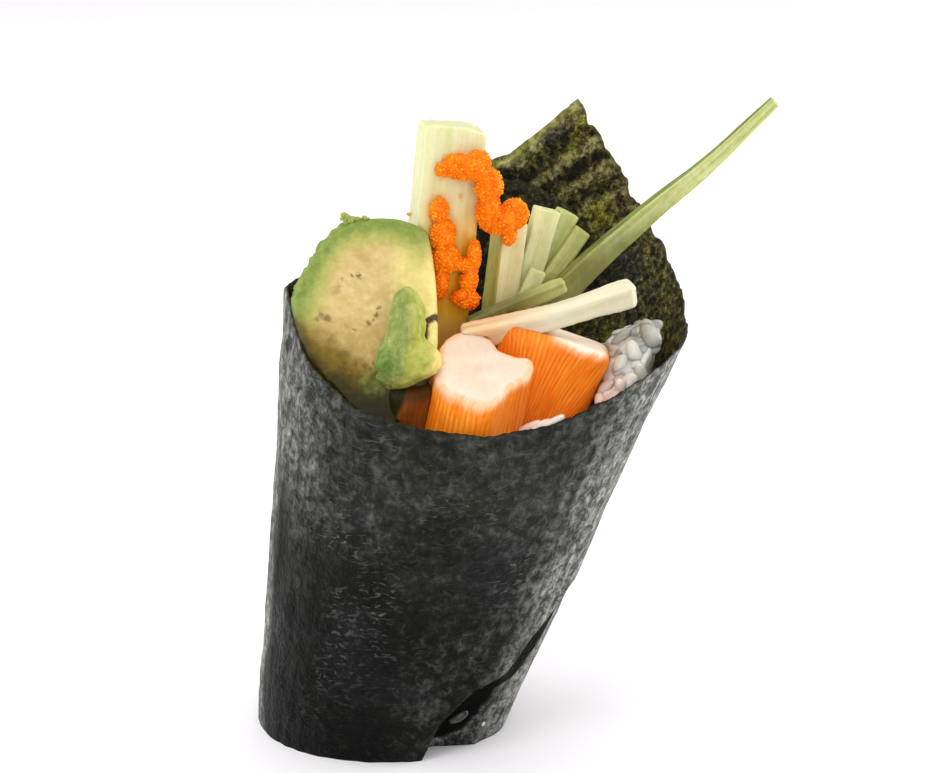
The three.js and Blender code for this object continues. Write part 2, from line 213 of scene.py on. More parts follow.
# ------------------------------------------------------------------ materials
def srgb(h):
    h = h.lstrip("#")
    c = [int(h[i:i + 2], 16) / 255 for i in (0, 2, 4)]
    return tuple(((x + 0.055) / 1.055) ** 2.4 if x > 0.04045 else x / 12.92 for x in c) + (1.0,)


class Mat:
    """Small helper for building a node material."""

    def __init__(self, name, **sockets):
        self.m = bpy.data.materials.new(name)
        self.m.use_nodes = True
        self.t = self.m.node_tree
        self.bsdf = next(n for n in self.t.nodes if n.type == "BSDF_PRINCIPLED")
        for k, v in sockets.items():
            self.set(k.replace("_", " "), v)

    def set(self, socket, value):
        self.bsdf.inputs[socket].default_value = value

    def node(self, kind, **props):
        n = self.t.nodes.new(kind)
        for k, v in props.items():
            setattr(n, k, v)
        return n

    def link(self, a, b):
        self.t.links.new(a, b)
        return a

    def put(self, node, name, value):
        s = node.inputs[name]
        if hasattr(value, "is_linked"):
            self.link(value, s)
        else:
            s.default_value = value

    def coords(self, scale=(1, 1, 1), attr=None):
        if attr:
            src = self.node("ShaderNodeAttribute", attribute_name=attr).outputs["Vector"]
        else:
            src = self.node("ShaderNodeTexCoord").outputs["Object"]
        mp = self.node("ShaderNodeMapping")
        mp.inputs["Scale"].default_value = scale
        self.link(src, mp.inputs["Vector"])
        return mp.outputs["Vector"]

    def attr(self, name):
        return self.node("ShaderNodeAttribute", attribute_name=name).outputs["Fac"]

    def noise(self, vec, scale, detail=3.0, rough=0.55, distortion=0.0, out="Fac"):
        n = self.node("ShaderNodeTexNoise")
        self.link(vec, n.inputs["Vector"])
        n.inputs["Scale"].default_value = scale
        n.inputs["Detail"].default_value = detail
        n.inputs["Roughness"].default_value = rough
        n.inputs["Distortion"].default_value = distortion
        return n.outputs[out]

    def voronoi(self, vec, scale, feature="F1", out="Distance", randomness=1.0):
        n = self.node("ShaderNodeTexVoronoi", feature=feature)
        self.link(vec, n.inputs["Vector"])
        n.inputs["Scale"].default_value = scale
        n.inputs["Randomness"].default_value = randomness
        return n.outputs[out]

    def ramp(self, fac, stops, mode="LINEAR"):
        n = self.node("ShaderNodeValToRGB")
        n.color_ramp.interpolation = mode
        els = n.color_ramp.elements
        while len(els) < len(stops):
            els.new(0.5)
        for e, (p, c) in zip(els, stops):
            e.position = p
            e.color = srgb(c) if isinstance(c, str) else (c, c, c, 1)
        self.link(fac, n.inputs["Fac"])
        return n.outputs["Color"]

    def math(self, op, a, b=0.0, clamp=False):
        n = self.node("ShaderNodeMath", operation=op, use_clamp=clamp)
        self.put(n, 0, a)
        self.put(n, 1, b)
        return n.outputs[0]

    def step(self, fac, lo, hi):
        n = self.node("ShaderNodeMapRange", interpolation_type="SMOOTHSTEP")
        self.put(n, "Value", fac)
        n.inputs["From Min"].default_value = lo
        n.inputs["From Max"].default_value = hi
        return n.outputs["Result"]

    def mix(self, fac, a, b, mode="MIX"):
        n = self.node("ShaderNodeMix", data_type="RGBA", blend_type=mode, clamp_factor=True)
        self.put(n, "Factor", fac)
        for key, val in (("A", a), ("B", b)):
            s = [i for i in n.inputs if i.name == key and i.type == "RGBA"][0]
            if isinstance(val, str):
                s.default_value = srgb(val)
            else:
                self.link(val, s)
        return [o for o in n.outputs if o.type == "RGBA"][0]

    def bump(self, height, strength, distance, normal=None):
        n = self.node("ShaderNodeBump")
        n.inputs["Strength"].default_value = strength
        n.inputs["Distance"].default_value = distance
        self.link(height, n.inputs["Height"])
        if normal is not None:
            self.link(normal, n.inputs["Normal"])
        return n.outputs["Normal"]

    def base(self, color):
        self.link(color, self.bsdf.inputs["Base Color"])

    def rough(self, fac):
        self.link(fac, self.bsdf.inputs["Roughness"])

    def normal(self, n):
        self.link(n, self.bsdf.inputs["Normal"])


def wet(m, weight=0.25, rough=0.18, gloss=0.3):
    m.set("Specular IOR Level", gloss)
    m.set("Coat Weight", weight)
    m.set("Coat Roughness", rough)


def flesh(m, weight, radius, scale=0.002):
    m.set("Subsurface Weight", weight)
    m.set("Subsurface Radius", radius)
    m.set("Subsurface Scale", scale)
    return m


# ------------------------------------------------------------------ nori material
def nori_material():
    M = Mat("nori_roasted", Roughness=0.5)
    M.set("Specular IOR Level", 0.085)
    M.set("Sheen Weight", 0.02)
    M.set("Sheen Roughness", 0.4)
    M.set("Sheen Tint", srgb("#cfd2cc"))
    P = M.coords()
    side = M.attr("inside")
    band = M.attr("band")
    edge = M.attr("edge")
    high = M.attr("high")
    turn = M.attr("turn")
    dim = M.attr("dim")
    painted_sheen = M.attr("painted_sheen")
    pits_and_seam_shade = M.attr("pits_and_seam_shade")
    fold = M.attr("fold")
    cloud = M.noise(P, 75, 3, 0.6)
    mid = M.noise(P, 520, 3, 0.62, 0.5)
    fine = M.noise(P, 1350, 3, 0.65)
    streak = M.noise(M.coords((0.50, 0.085, 0), "place"), 1.0, 3.0, 0.6, 0.6)
    tone = M.math("ADD", M.math("MULTIPLY", mid, 0.43), M.math("MULTIPLY", cloud, 0.30))
    tone = M.math("ADD", tone, M.math("ADD", M.math("MULTIPLY", fine, 0.19), M.math("MULTIPLY", streak, 0.08)))
    tone = M.math("ADD", tone, M.attr("shift"))
    # outside: charcoal, with painted shade that leaves it nearly black low down and greyer high up
    low_c = M.ramp(tone, [(0.40, "#020202"), (0.48, "#060604"), (0.54, "#11110e"), (0.60, "#2a2b26"), (0.67, "#4b4c46")])
    high_c = M.ramp(tone, [(0.38, "#0a0b09"), (0.46, "#1a1c17"), (0.53, "#2b2c27"), (0.61, "#474842"), (0.69, "#676962")])
    out_c = M.mix(high, low_c, high_c)
    bluish = M.step(M.noise(P, 55, 2, 0.5), 0.53, 0.62)
    out_c = M.mix(M.math("MULTIPLY", bluish, 0.5), out_c, M.ramp(tone, [(0.38, "#09090c"), (0.54, "#1e1e22"), (0.66, "#414247")]))
    olive = M.step(M.noise(P, 130, 3, 0.6), 0.58, 0.72)
    out_c = M.mix(M.math("MULTIPLY", olive, 0.5), out_c, M.ramp(tone, [(0.38, "#0c0d07"), (0.54, "#222416"), (0.66, "#45452f")]))
    # painted glints: clusters of short light strokes, some curved, most of them level
    bend = M.noise(M.coords((0.17, 0.42, 0), "place"), 1.0, 2.0, 0.5)
    lines = M.step(M.math("SINE", M.math("MULTIPLY", bend, 40.0)), 0.45, 0.98)
    short = M.step(M.noise(M.coords((0.55, 1.3, 0), "place"), 1.0, 2.0, 0.5), 0.45, 0.60)
    patch = M.step(M.noise(M.coords((0.075, 0.10, 0), "place"), 1.0, 2.0, 0.55), 0.36, 0.52)
    strokes = M.math("MULTIPLY", M.math("MULTIPLY", lines, short), patch)
    dash = M.step(M.noise(M.coords((0.5, 1.2, 0), "place"), 1.0, 2.0, 0.6, 1.1), 0.54, 0.74)
    near = M.step(M.noise(M.coords((0.09, 0.12, 0.5), "place"), 1.0, 2.0, 0.55), 0.42, 0.60)
    dash = M.math("MULTIPLY", dash, near)
    dots = M.step(M.voronoi(M.coords((0.34, 0.62, 0), "place"), 1.0), 0.17, 0.06)
    dots = M.math("MULTIPLY", dots, M.step(M.noise(P, 240, 2, 0.5), 0.56, 0.64))
    painted_glints = M.math("MAXIMUM", strokes, M.math("MAXIMUM", M.math("MULTIPLY", dots, 0.8), M.math("MULTIPLY", dash, 0.7)))
    painted_glints = M.math("MULTIPLY", M.math("MULTIPLY", painted_glints, M.attr("busy")), M.math("SUBTRACT", 1.0, side))
    out_c = M.mix(M.math("MULTIPLY", painted_glints, 0.50), out_c, "#7a7c75")
    # painted sheen: greyer where the sheet is bent round the flanks, standing in for the light that grazes them
    sheen_tone = M.math("ADD", M.math("MULTIPLY", mid, 0.49), M.math("ADD", M.math("MULTIPLY", streak, 0.25), M.math("MULTIPLY", fine, 0.26)))
    sheen_c = M.ramp(sheen_tone, [(0.36, "#252622"), (0.46, "#51524c"), (0.54, "#85867f"), (0.64, "#bcbdb6")])
    out_c = M.mix(M.math("MULTIPLY", painted_sheen, M.step(sheen_tone, 0.28, 0.56)), out_c, sheen_c)
    # painted dark reflection: a near-black patch on the left flank that breaks the sheen there
    out_c = M.mix(M.math("MULTIPLY", dim, 0.92), out_c, "#0d0e09")
    # inside of the flap: brown-olive, crumpled, with yellow-green patches
    grain = M.noise(P, 950, 4, 0.72, 0.3)
    # painted light and shade along the flap's creases, on the same wave as their relief
    grain = M.math("ADD", grain, M.math("MULTIPLY", fold, 0.13))
    in_c = M.ramp(grain, [(0.34, "#100f08"), (0.44, "#2b2816"), (0.53, "#524c2c"), (0.62, "#7d764c"), (0.70, "#a09970")])
    patch2 = M.step(M.math("ADD", M.noise(P, 230, 3, 0.65), M.math("MULTIPLY", M.attr("mossy"), 0.09)), 0.52, 0.66)
    in_c = M.mix(M.math("MULTIPLY", patch2, M.attr("mossy")), in_c, M.ramp(grain, [(0.34, "#23220a"), (0.46, "#5d5a1d"), (0.56, "#8f8c33"), (0.68, "#c3bf62")]))
    cool = M.step(M.noise(P, 90, 2, 0.5), 0.55, 0.66)
    in_c = M.mix(M.math("MULTIPLY", cool, 0.6), in_c, M.ramp(grain, [(0.34, "#101114"), (0.55, "#33343a"), (0.70, "#6e7074")]))
    # the first turn's inner face is smoother and darker
    first = M.math("SUBTRACT", 1.0, turn, True)
    in_c = M.mix(M.math("MULTIPLY", first, 0.8), in_c, M.ramp(grain, [(0.34, "#0a0a07"), (0.55, "#1d1d15"), (0.70, "#3d3b28")]))
    col = M.mix(side, out_c, in_c)
    # thin light band along the last edge
    pale = M.ramp(M.noise(P, 520, 3, 0.65), [(0.34, "#4c4b1e"), (0.46, "#85843a"), (0.56, "#a9a75a"), (0.68, "#cfcc8c")])
    col = M.mix(M.math("MULTIPLY", band, M.step(M.noise(P, 300, 3, 0.6), 0.30, 0.42)), col, pale)
    col = M.mix(M.math("MULTIPLY", edge, 0.35), col, "#332f1b")
    speck = M.step(M.voronoi(P, 420), 0.10, 0.02)
    speck = M.math("MULTIPLY", speck, M.step(M.noise(P, 130, 2, 0.5), 0.62, 0.68))
    col = M.mix(M.math("MULTIPLY", speck, 0.6), col, "#7d6640")
    # painted shade: black in the open seam
    col = M.mix(pits_and_seam_shade, col, "#020201")
    M.base(col)
    r = M.math("ADD", M.math("MULTIPLY", mid, 0.26), M.math("MULTIPLY", streak, 0.22))
    M.rough(M.math("ADD", M.math("ADD", r, 0.24), M.math("ADD", M.math("MULTIPLY", dim, 0.2), M.math("MULTIPLY", pits_and_seam_shade, 0.3))))
    h = M.math("ADD", M.math("MULTIPLY", mid, 1.5), M.math("MULTIPLY", fine, 0.5))
    h = M.math("ADD", h, M.math("MULTIPLY", painted_glints, 0.45))
    h = M.math("ADD", h, M.math("MULTIPLY", streak, 0.8))
    rough_in = M.math("MULTIPLY", M.math("MULTIPLY", grain, side), M.math("ADD", M.math("MULTIPLY", turn, 2.6), 0.3))
    h = M.math("ADD", h, rough_in)
    M.normal(M.bump(h, 0.9, 0.0006))
    return M.m


# ------------------------------------------------------------------ nori
UPPER = np.array([
    (-122, 30), (-60, 42), (0, 56), (30, 67), (60, 79), (72, 84.6), (88, 88.2), (98, 88.4),
    (118, 81.2), (140, 78), (158, 76.6), (178, 76.6), (192, 79), (198, 74.9), (213, 69.1),
    (234, 63.9), (256, 61.7), (276, 60.5), (297, 62.4), (317, 66.2), (332, 67.8), (368, 71.1),
    (382, 75), (399, 80.5), (411, 85.8), (424, 93.5), (437.1, 101.7)])
LOWER = np.array([
    (-122, 0), (288.6, 0), (291, 7.3), (301.5, 12.5), (313, 14.3), (320, 18.3), (329, 21.6),
    (336, 27), (350, 32), (402, 41), (500, 56)])


def read(knots, x, blur=2.0):
    """A value along the knots, with the corners rounded."""
    out = 0
    for k, w in ((-1.5, 0.12), (-0.75, 0.23), (0, 0.30), (0.75, 0.23), (1.5, 0.12)):
        out = out + w * np.interp(np.asarray(x) + k * blur, knots[:, 0], knots[:, 1])
    return out


def nori():
    break_at, tail_top, tail_foot = 402.0, 437.1, 500.0
    main = np.concatenate([
        np.arange(-122, 150, 1.9), np.arange(150, 284, 1.35), np.arange(284, 345, 0.85), np.arange(345, break_at, 1.2)])
    fan = 66
    f = np.linspace(0, 1, fan + 1)[1:] if main[-1] == break_at else np.linspace(0, 1, fan + 1)
    rows = 82
    t = np.linspace(0, 1, rows + 1)[:, None]
    # rows lie closer together near the upper edge
    t = t ** 0.9
    top_deg = np.concatenate([main, break_at + (tail_top - break_at) * f])
    low_deg = np.concatenate([main, break_at + (tail_foot - break_at) * f])
    fan_f = np.concatenate([main * 0, f])
    arc = np.concatenate([[0], np.cumsum(np.hypot(np.diff(top_deg) * 0.6, 0))])
    up_z = read(UPPER, top_deg, 1.4)
    up_z[top_deg > 434] = np.interp(top_deg[top_deg > 434], UPPER[:, 0], UPPER[:, 1])
    lo_z = np.where(low_deg < 288, 0.0, read(LOWER, low_deg, 0.8))
    lo_z = np.where(low_deg < 288.6, 0.0, np.maximum(lo_z, 0))
    # cut edges are ragged, more so along the flap
    ragged = noise(line(arc), 1.1, 3) * 0.24 + noise(line(arc), 0.5, 4) * 0.16
    flap = smooth(top_deg, 372, 392)
    torn = noise(line(arc + 9), 3.4, 8) * 0.45 + noise(line(arc + 31), 1.5, 9) * 0.40 + noise(line(arc), 0.7, 10) * 0.22
    up_z = up_z + ragged * (1 - 0.3 * flap) + torn * 1.15 * flap * (1 - smooth(top_deg, 433, 437))
    up_z = up_z - 1.3 * bell(top_deg, 432.4, 1.5)          # the last corner stands up as a narrow lip
    lo_rag = noise(line(arc + 50), 0.9, 6) * 0.30
    lo_z = lo_z + np.where(low_deg > 291, lo_rag, 0)
    lo_z = lo_z + 0.65 * bell(low_deg, 304, 9) + 0.55 * bell(low_deg, 322, 8)
    z = lo_z[None] + (up_z - lo_z)[None] * t
    deg = low_deg[None] + (top_deg - low_deg)[None] * t
    # the nick in the last edge, and its own raggedness
    z = z + 2.3 * bell(t, 0.70, 0.06) * (fan_f[None] ** 3)
    tail_rag = noise(line(t[:, 0] * 62), 1.5, 12)[:, None] * 0.5 + noise(line(t[:, 0] * 62), 0.6, 13)[:, None] * 0.25
    deg = deg + tail_rag * 0.9 * fan_f[None] ** 6
    outer_turn = deg > 200
    layer = np.where(outer_turn, 0.0, INNER * (1 - smooth(deg, 142, 182)))
    d180 = (deg + 180) % 360 - 180
    lo_here = np.broadcast_to(lo_z[None], deg.shape)
    lift = np.where(deg > 280, np.maximum(1.25 * bell(deg, 308, 16), 0.55 * bell(deg, 337, 11)) * np.exp(-np.maximum(0, z - lo_here) / 6.5), 0)
    first = deg < 100
    dent = np.where(first, 3.3 * bell(d180, -62, 15) * (1 - smooth(z, 7, 18)), 0)
    # a folded crease runs up the first turn where it shows
    crease_deg = -41.5 - 0.12 * (z - 8)
    ridge = np.where(first, 0.75 * np.exp(-np.abs(d180 - crease_deg) / 5.0) * (1 - smooth(z, 15, 24)), 0)
    # right of the fold the first turn stands out nearly as far as the lifted edge
    rim_z = np.interp(360 + d180, LOWER[:, 0], LOWER[:, 1])
    swell = np.where(first, 0.60 * smooth(d180, -37, -24) * (1 - smooth(d180, 12, 40)) * (1 - smooth(z - rim_z, -2.2, -0.6)), 0)
    off = layer + lift - dent + ridge + swell
    P0 = on_cone(deg, z, off * 0)
    off = off + 0.42 * noise(P0, (17, 17, 23), 21) * smooth(z, 0, 14) * np.where(deg > 372, 1.25, 1)
    off = off + 0.16 * noise(P0, (5.5, 5.5, 7), 22) + 0.085 * noise(P0, 2.3, 23)
    # soft vertical flutes where the sheet was bent round
    off = off + 0.10 * noise(np.stack([d180 / 4.2, z / 40, z * 0], -1), 1.0, 25)
    # distance along the sheet from the last edge, roughly, in mm
    arc_tail = (500 - deg) * 0.62
    tail_line = np.abs((top_deg[-1] + (low_deg[-1] - top_deg[-1]) * (1 - t)) - deg) * 0.60 * 0.78
    tail_line = np.where(deg > 300, tail_line, 99)
    # creases in the flap, running alongside the last edge, and its crumpled inner face
    on_flap = smooth(z, 78, 86) * (deg > 372)
    crumple = 0.34 * np.sin(tail_line * 1.9 + 2.2 * noise(P0, 6, 31)) * bell(tail_line, 5.2, 4.4)
    crumple = crumple + 0.34 * fbm(P0, 2.3, 33, 2) + 0.20 * noise(np.stack([tail_line / 0.9, z / 5, z * 0], -1), 1.0, 34)
    off = off + on_flap * crumple
    # the last edge curls outwards
    curl = np.clip(2.6 - tail_line, 0, 3)
    off = off + curl ** 2 * 0.17 * (deg > 372)
    pits_and_seam_shade = 0.05 * noise(P0, 1.1, 41)
    both = lambda x: np.concatenate([x.ravel(), x.ravel()])
    So = on_cone(deg, z, off + pits_and_seam_shade)
    Si = on_cone(deg, z, off - SHEET - 0.06 * noise(P0, 1.2, 42) - on_flap * 0.10 * noise(P0, 1.4, 43))
    So[..., 2] = np.maximum(So[..., 2], 0)
    Si[..., 2] = np.maximum(Si[..., 2], 0)
    R, C = deg.shape
    V = np.vstack([So.reshape(-1, 3), Si.reshape(-1, 3)])
    n = R * C
    Fo = grid_quads(R, C)
    Fi = grid_quads(R, C)[:, ::-1] + n
    F = [Fo, Fi]
    idx = np.arange(n).reshape(R, C)

    def strip(path):
        a, b = path[:-1], path[1:]
        return np.stack([a, b, b + n, a + n], -1)
    F += [strip(idx[0])[:, ::-1], strip(idx[-1]), strip(idx[:, 0]), strip(idx[:, -1])[:, ::-1]]
    F = np.vstack(F)
    top_d = (up_z[None] - z)
    edge = np.clip(1 - np.minimum(top_d, np.minimum(z - lo_here + 3 * (lo_here < 0.5), tail_line)) / 0.7, 0, 1)
    wide = 0.85 + 0.35 * noise(P0, 3.0, 52) + 0.2 * noise(P0, 1.2, 53)
    band = (1 - smooth(tail_line - wide, -0.25, 0.25)) * smooth(z, 85, 88)
    band = np.maximum(band, 0.30 * (1 - smooth(top_d, 0.1, 0.5)) * smooth(z, 76, 84) * (deg > 372))
    # painted shade mask: 0 low on the outside, 1 high up where the colour turns grey
    high = smooth(z + 4 * noise(P0, 14, 51), 16, 58)
    # painted sheen: grey on the flanks, and on the face of the first turn below the seam
    flank = (d180 + 90 + 180) % 360 - 180
    painted_sheen = smooth(-flank, 26, 74) * smooth(z + 5 * noise(P0, 9, 61), 28, 54) * 0.68
    painted_sheen = np.maximum(painted_sheen, 0.9 * smooth(-flank + 3 * noise(P0, 6, 62), 70, 79))
    painted_sheen = np.maximum(painted_sheen, smooth(flank + 5 * noise(P0, 8, 63), 32, 58) * 0.97)
    painted_sheen = np.where(first, 0.35 + 0.6 * smooth(d180, -42, -24), painted_sheen)
    painted_sheen = painted_sheen * (1 - 0.78 * smooth(np.abs(flank) + 5 * noise(P0, 10, 65), 108, 140))
    # painted shade in the open seam: black under the lifted edge and in the hollow left of the fold
    fall = np.interp(d180 + 0.8 * noise(P0, 2.2, 64), [-80, -70, -64, -57.6, -50.2, -45.4, -44, -43.3, -41.3, -36, -33.4, -30.4, -26, -22.6, -21.7, -21.1, -19.3, -17.5, -10],
                     [1.6, 1.6, 1.6, 1.8, 3.2, 6.2, 8.6, 10.7, 11.6, 11.8, 12.1, 14.0, 15.9, 18.6, 20.8, 22.2, 23.3, 24.2, 27.6])
    fall = fall + (rim_z - 0.45 - fall) * smooth(d180, -13, -4)
    pits_and_seam_shade = np.where(first & (d180 > -84), smooth(z - fall, -0.35, 0.25) * (1 - smooth(d180, 8, 28)), 0)
    painted_sheen = painted_sheen * (1 - pits_and_seam_shade)
    fold = on_flap * np.sin(tail_line * 1.9 + 2.2 * noise(P0, 6, 31)) * bell(tail_line, 5.0, 5.0)
    # where the painted glints (short light strokes) gather, and where the inner face is greener
    busy = np.full(z.shape, 0.10)
    for d0, z0, w, h in ((-128, 38, 20, 11), (-76.5, 43, 11, 7), (-134, 21, 24, 11), (-122, 60, 12, 8), (-102, 49, 13, 6), (-60, 36, 9, 7), (-100, 28, 14, 8)):
        busy = np.maximum(busy, bell(d180, d0, w) * bell(z, z0, h))
    busy = busy * smooth(noise(P0, 7, 71), -0.6, 0.2)
    mossy = 0.30 + 0 * z
    for d0, z0, w, h in ((421, 83, 7, 5), (404, 66, 12, 7), (434, 97, 3, 5), (46, 63, 13, 6)):
        mossy = np.maximum(mossy, 0.95 * bell(deg, d0, w) * bell(z, z0, h))
    attrs = {
        "busy": both(busy), "mossy": both(mossy),
        "shift": both(0.050 * smooth(d180, -92, -62) * (1 - 0.5 * smooth(z, 40, 70))
                      - 0.065 * bell(d180, -101, 15) * (1 - smooth(z, 22, 50)) - 0.012 * bell(d180, -158, 16) * bell(z, 30, 14)),
        "inside": np.concatenate([np.zeros(n), np.ones(n)]),
        "band": both(band), "edge": both(edge), "high": both(high),
        "turn": both(np.maximum(smooth(deg, 195, 205), 0.9 * bell(deg, 46, 13) * bell(z, 62, 6))), "painted_sheen": both(painted_sheen), "pits_and_seam_shade": both(pits_and_seam_shade), "fold": both(fold),
        "dim": both(bell(deg + 3 * noise(P0, 5, 55), 204, 9) * bell(z + 2.5 * noise(P0, 6, 54), 36, 9)),
    }
    spot = np.stack([deg * 0.47, z, np.zeros_like(z)], -1).reshape(-1, 3)
    return build("nori_wrap", V, F, nori_material(), ("nori_sheet",), attrs, np.vstack([spot, spot]))


nori()

# ------------------------------------------------------------------ neighbours
FILLINGS = sorted(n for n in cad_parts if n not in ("nori_sheet", "rice"))


def node_mesh(name):
    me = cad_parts[name].data
    co = np.empty(len(me.vertices) * 3, np.float32)
    me.vertices.foreach_get("co", co)
    return co.reshape(-1, 3) / MM - SHIFT, [tuple(p.vertices) for p in me.polygons]


def tree_of(names):
    V, F, base = [], [], 0
    for n in names:
        v, f = node_mesh(n)
        V.append(v)
        F += [[i + base for i in q] for q in f]
        base += len(v)
    return BVHTree.FromPolygons([Vector(p) for p in np.vstack(V)], F)


def distance(tree, p):
    """Distance to the nearest wall, negative inside, with the place and the normal there."""
    loc, nrm, _, d = tree.find_nearest(p)
    return (d if (p - loc).dot(nrm) >= 0 else -d), loc, nrm


def keep_out(P, own, gap=0.12):
    """Pushes points out of every other filling."""
    tree = tree_of([n for n in FILLINGS if n not in own])
    Q = P.reshape(-1, 3).copy()
    for i in range(len(Q)):
        v = Vector(Q[i])
        d, loc, nrm = distance(tree, v)
        if d < gap:
            way = nrm if d < 0.03 else (v - loc).normalized()
            Q[i] = loc + way * gap
    return Q.reshape(P.shape)


def stay_in(P, names, tol=0.14):
    """Brings points that lie outside their own CAD solids back to the surface there."""
    tree = tree_of(names)
    Q = P.reshape(-1, 3).copy()
    for i in range(len(Q)):
        d, loc, nrm = distance(tree, Vector(Q[i]))
        if d > tol:
            Q[i] = loc + (Vector(Q[i]) - loc).normalized() * tol
    return Q.reshape(P.shape)


# ------------------------------------------------------------------ sticks
def frame_at(top, up, turn=0.0):
    z = np.array(up, float)
    z /= np.linalg.norm(z)
    x = np.array([1.0, 0, 0]) - z * z[0]
    x /= np.linalg.norm(x)
    y = np.cross(z, x)
    c, s = math.cos(math.radians(turn)), math.sin(math.radians(turn))
    return np.array(top, float), x * c + y * s, -x * s + y * c, z


def resampled(P, n):
    """n points evenly round a closed outline, their outward normals and their place round it in mm."""
    P = np.vstack([P, P[:1]])
    s = np.concatenate([[0], np.cumsum(np.hypot(*np.diff(P, axis=0).T))])
    u = np.linspace(0, s[-1], n, endpoint=False)
    Q = np.stack([np.interp(u, s, P[:, 0]), np.interp(u, s, P[:, 1])], -1)
    t = np.roll(Q, -1, 0) - np.roll(Q, 1, 0)
    N = np.stack([t[:, 1], -t[:, 0]], -1)
    return Q, N / np.linalg.norm(N, axis=1)[:, None], u


def section(w, d, r, n, outline=None):
    """A rounded rectangle, or a free outline with soft corners; the count starts at its back."""
    if outline is not None:
        Q, N, u = resampled(np.array(outline, float), n)
        for _ in range(max(2, n // 60)):
            Q = (np.roll(Q, 1, 0) + 2 * Q + np.roll(Q, -1, 0)) / 4
        k = int(np.argmax(Q[:, 1]))
        return resampled(np.roll(Q, -k, 0), n)
    hw, hd = w / 2, d / 2
    r = min(r, hw * 0.98, hd * 0.98)

    def arc(cx, cy, a):
        t = np.radians(np.linspace(a, a + 90, 20))
        return np.stack([cx + r * np.cos(t), cy + r * np.sin(t)], -1)
    P = np.vstack([[(0, hd)], arc(-hw + r, hd - r, 90), arc(-hw + r, -hd + r, 180),
                   arc(hw - r, -hd + r, -90), arc(hw - r, hd - r, 0)])
    return resampled(P, n)


def stick_grid(w, d, r, length, n, rows, bevel, cap_rings=9, dense=1.6, both=False, outline=None):
    """Rings of a straight stick from its foot to the middle of its top: local points, section normals,
    and for each point its place round, its depth below the top and how far in on the end it lies."""
    Q, N, u = section(w, d, r, n, outline)
    half = min(w, d) / 2 if outline is None else float(np.min(np.hypot(Q[:, 0], Q[:, 1])))
    b = bevel
    prof = []                                    # (inset, share of the cap, z, on the cap)
    if both:
        prof += [(b, k, -length, 1) for k in np.linspace(0.04, 1, cap_rings)[:-1]]
        prof += [(b * (1 - math.cos(a)), 1, -length + b * (1 - math.sin(a)), 0) for a in np.radians([90, 65, 40, 18])]
    else:
        prof += [(0, 1, -length, 0)]
    t = np.linspace(0, 1, rows)[1:-1] ** (1 / dense)
    prof += [(0, 1, -length + b + (length - 2 * b) * k, 0) for k in (t if not both else np.linspace(0, 1, rows))]
    prof += [(b * (1 - math.cos(a)), 1, -b * (1 - math.sin(a)), 0) for a in np.radians([0, 18, 36, 54, 72, 90])]
    prof += [(b, k, 0, 1) for k in np.linspace(1, 0.03, cap_rings + 1)[1:]]
    L, A, D, K, S = [], [], [], [], []
    for inset, share, z, on in prof:
        xy = (Q - N * inset) * share
        L.append(np.stack([xy[:, 0], xy[:, 1], np.full(n, z)], -1))
        A.append(u)
        D.append(np.full(n, -z))
        K.append(np.full(n, (1 - share) * half if on else 0.0))
        S.append(np.full(n, 0.0 if on else 1.0 - inset / b * 0.7))
    return (np.array(L), np.broadcast_to(N, (len(L), n, 2)), np.array(A), np.array(D), np.array(K), np.array(S))


def ended(x):
    """Per-point values for tube(): the grid's, then its two end points."""
    x = np.asarray(x, float)
    return np.concatenate([x.ravel(), [x[0].mean(), x[-1].mean()]])


def ended3(X):
    return np.vstack([X.reshape(-1, 3), X[0].mean(0), X[-1].mean(0)])


def grown(name, mat, rings, place, attrs, own, tol=0.14):
    V, F = tube(stay_in(rings, own, tol))
    return build(name, V, F, mat, own, {k: ended(v) for k, v in attrs.items()}, ended3(place))


def stick(name, mat, slot, top, up, turn=0, w=0, d=0, length=0, r=0.5, narrow=1.0, skew=(0, 0), n=96, rows=56,
          bevel=0.35, relief=None, skin=None, wavy=0.25, seed=1, outline=None, fan=0.0, extra=None):
    L, N, A, D, K, S = stick_grid(w, d, r, length, n, rows, bevel, outline=outline)
    around = (A - A.max() / 2) * (1 + fan * np.minimum(D, 12))
    t = np.clip(-L[..., 2] / length, 0, 1)
    k = 1 + (narrow - 1) * t
    side, cap = relief(L, around, D, K) if relief else (0, 0)
    # a hand-cut stick is never quite straight
    bend = np.stack([noise(line(D / 13.0 + seed), 1.0, seed) * wavy, noise(line(D / 13.0 + seed), 1.0, seed + 5) * wavy], -1)
    x = L[..., 0] * k + N[..., 0] * side * S + bend[..., 0] * smooth(D, 0, 8)
    y = L[..., 1] * k + N[..., 1] * side * S + bend[..., 1] * smooth(D, 0, 8)
    c, s = math.cos(math.radians(turn)), math.sin(math.radians(turn))
    right, back = x * c - y * s, x * s + y * c
    z = L[..., 2] + (1 - t) * (right * skew[0] + back * skew[1]) + cap * (K > 0)
    o, X, Y, Z = frame_at(top, up, turn)
    P = o + x[..., None] * X + y[..., None] * Y + z[..., None] * Z
    attrs = dict(extra(right, back, D, K)) if extra else {}
    if skin is not None:
        attrs["skin"] = skin(L, N, A, D)
    return grown(name, mat, P, np.stack([around, D, K], -1), attrs, (name,))


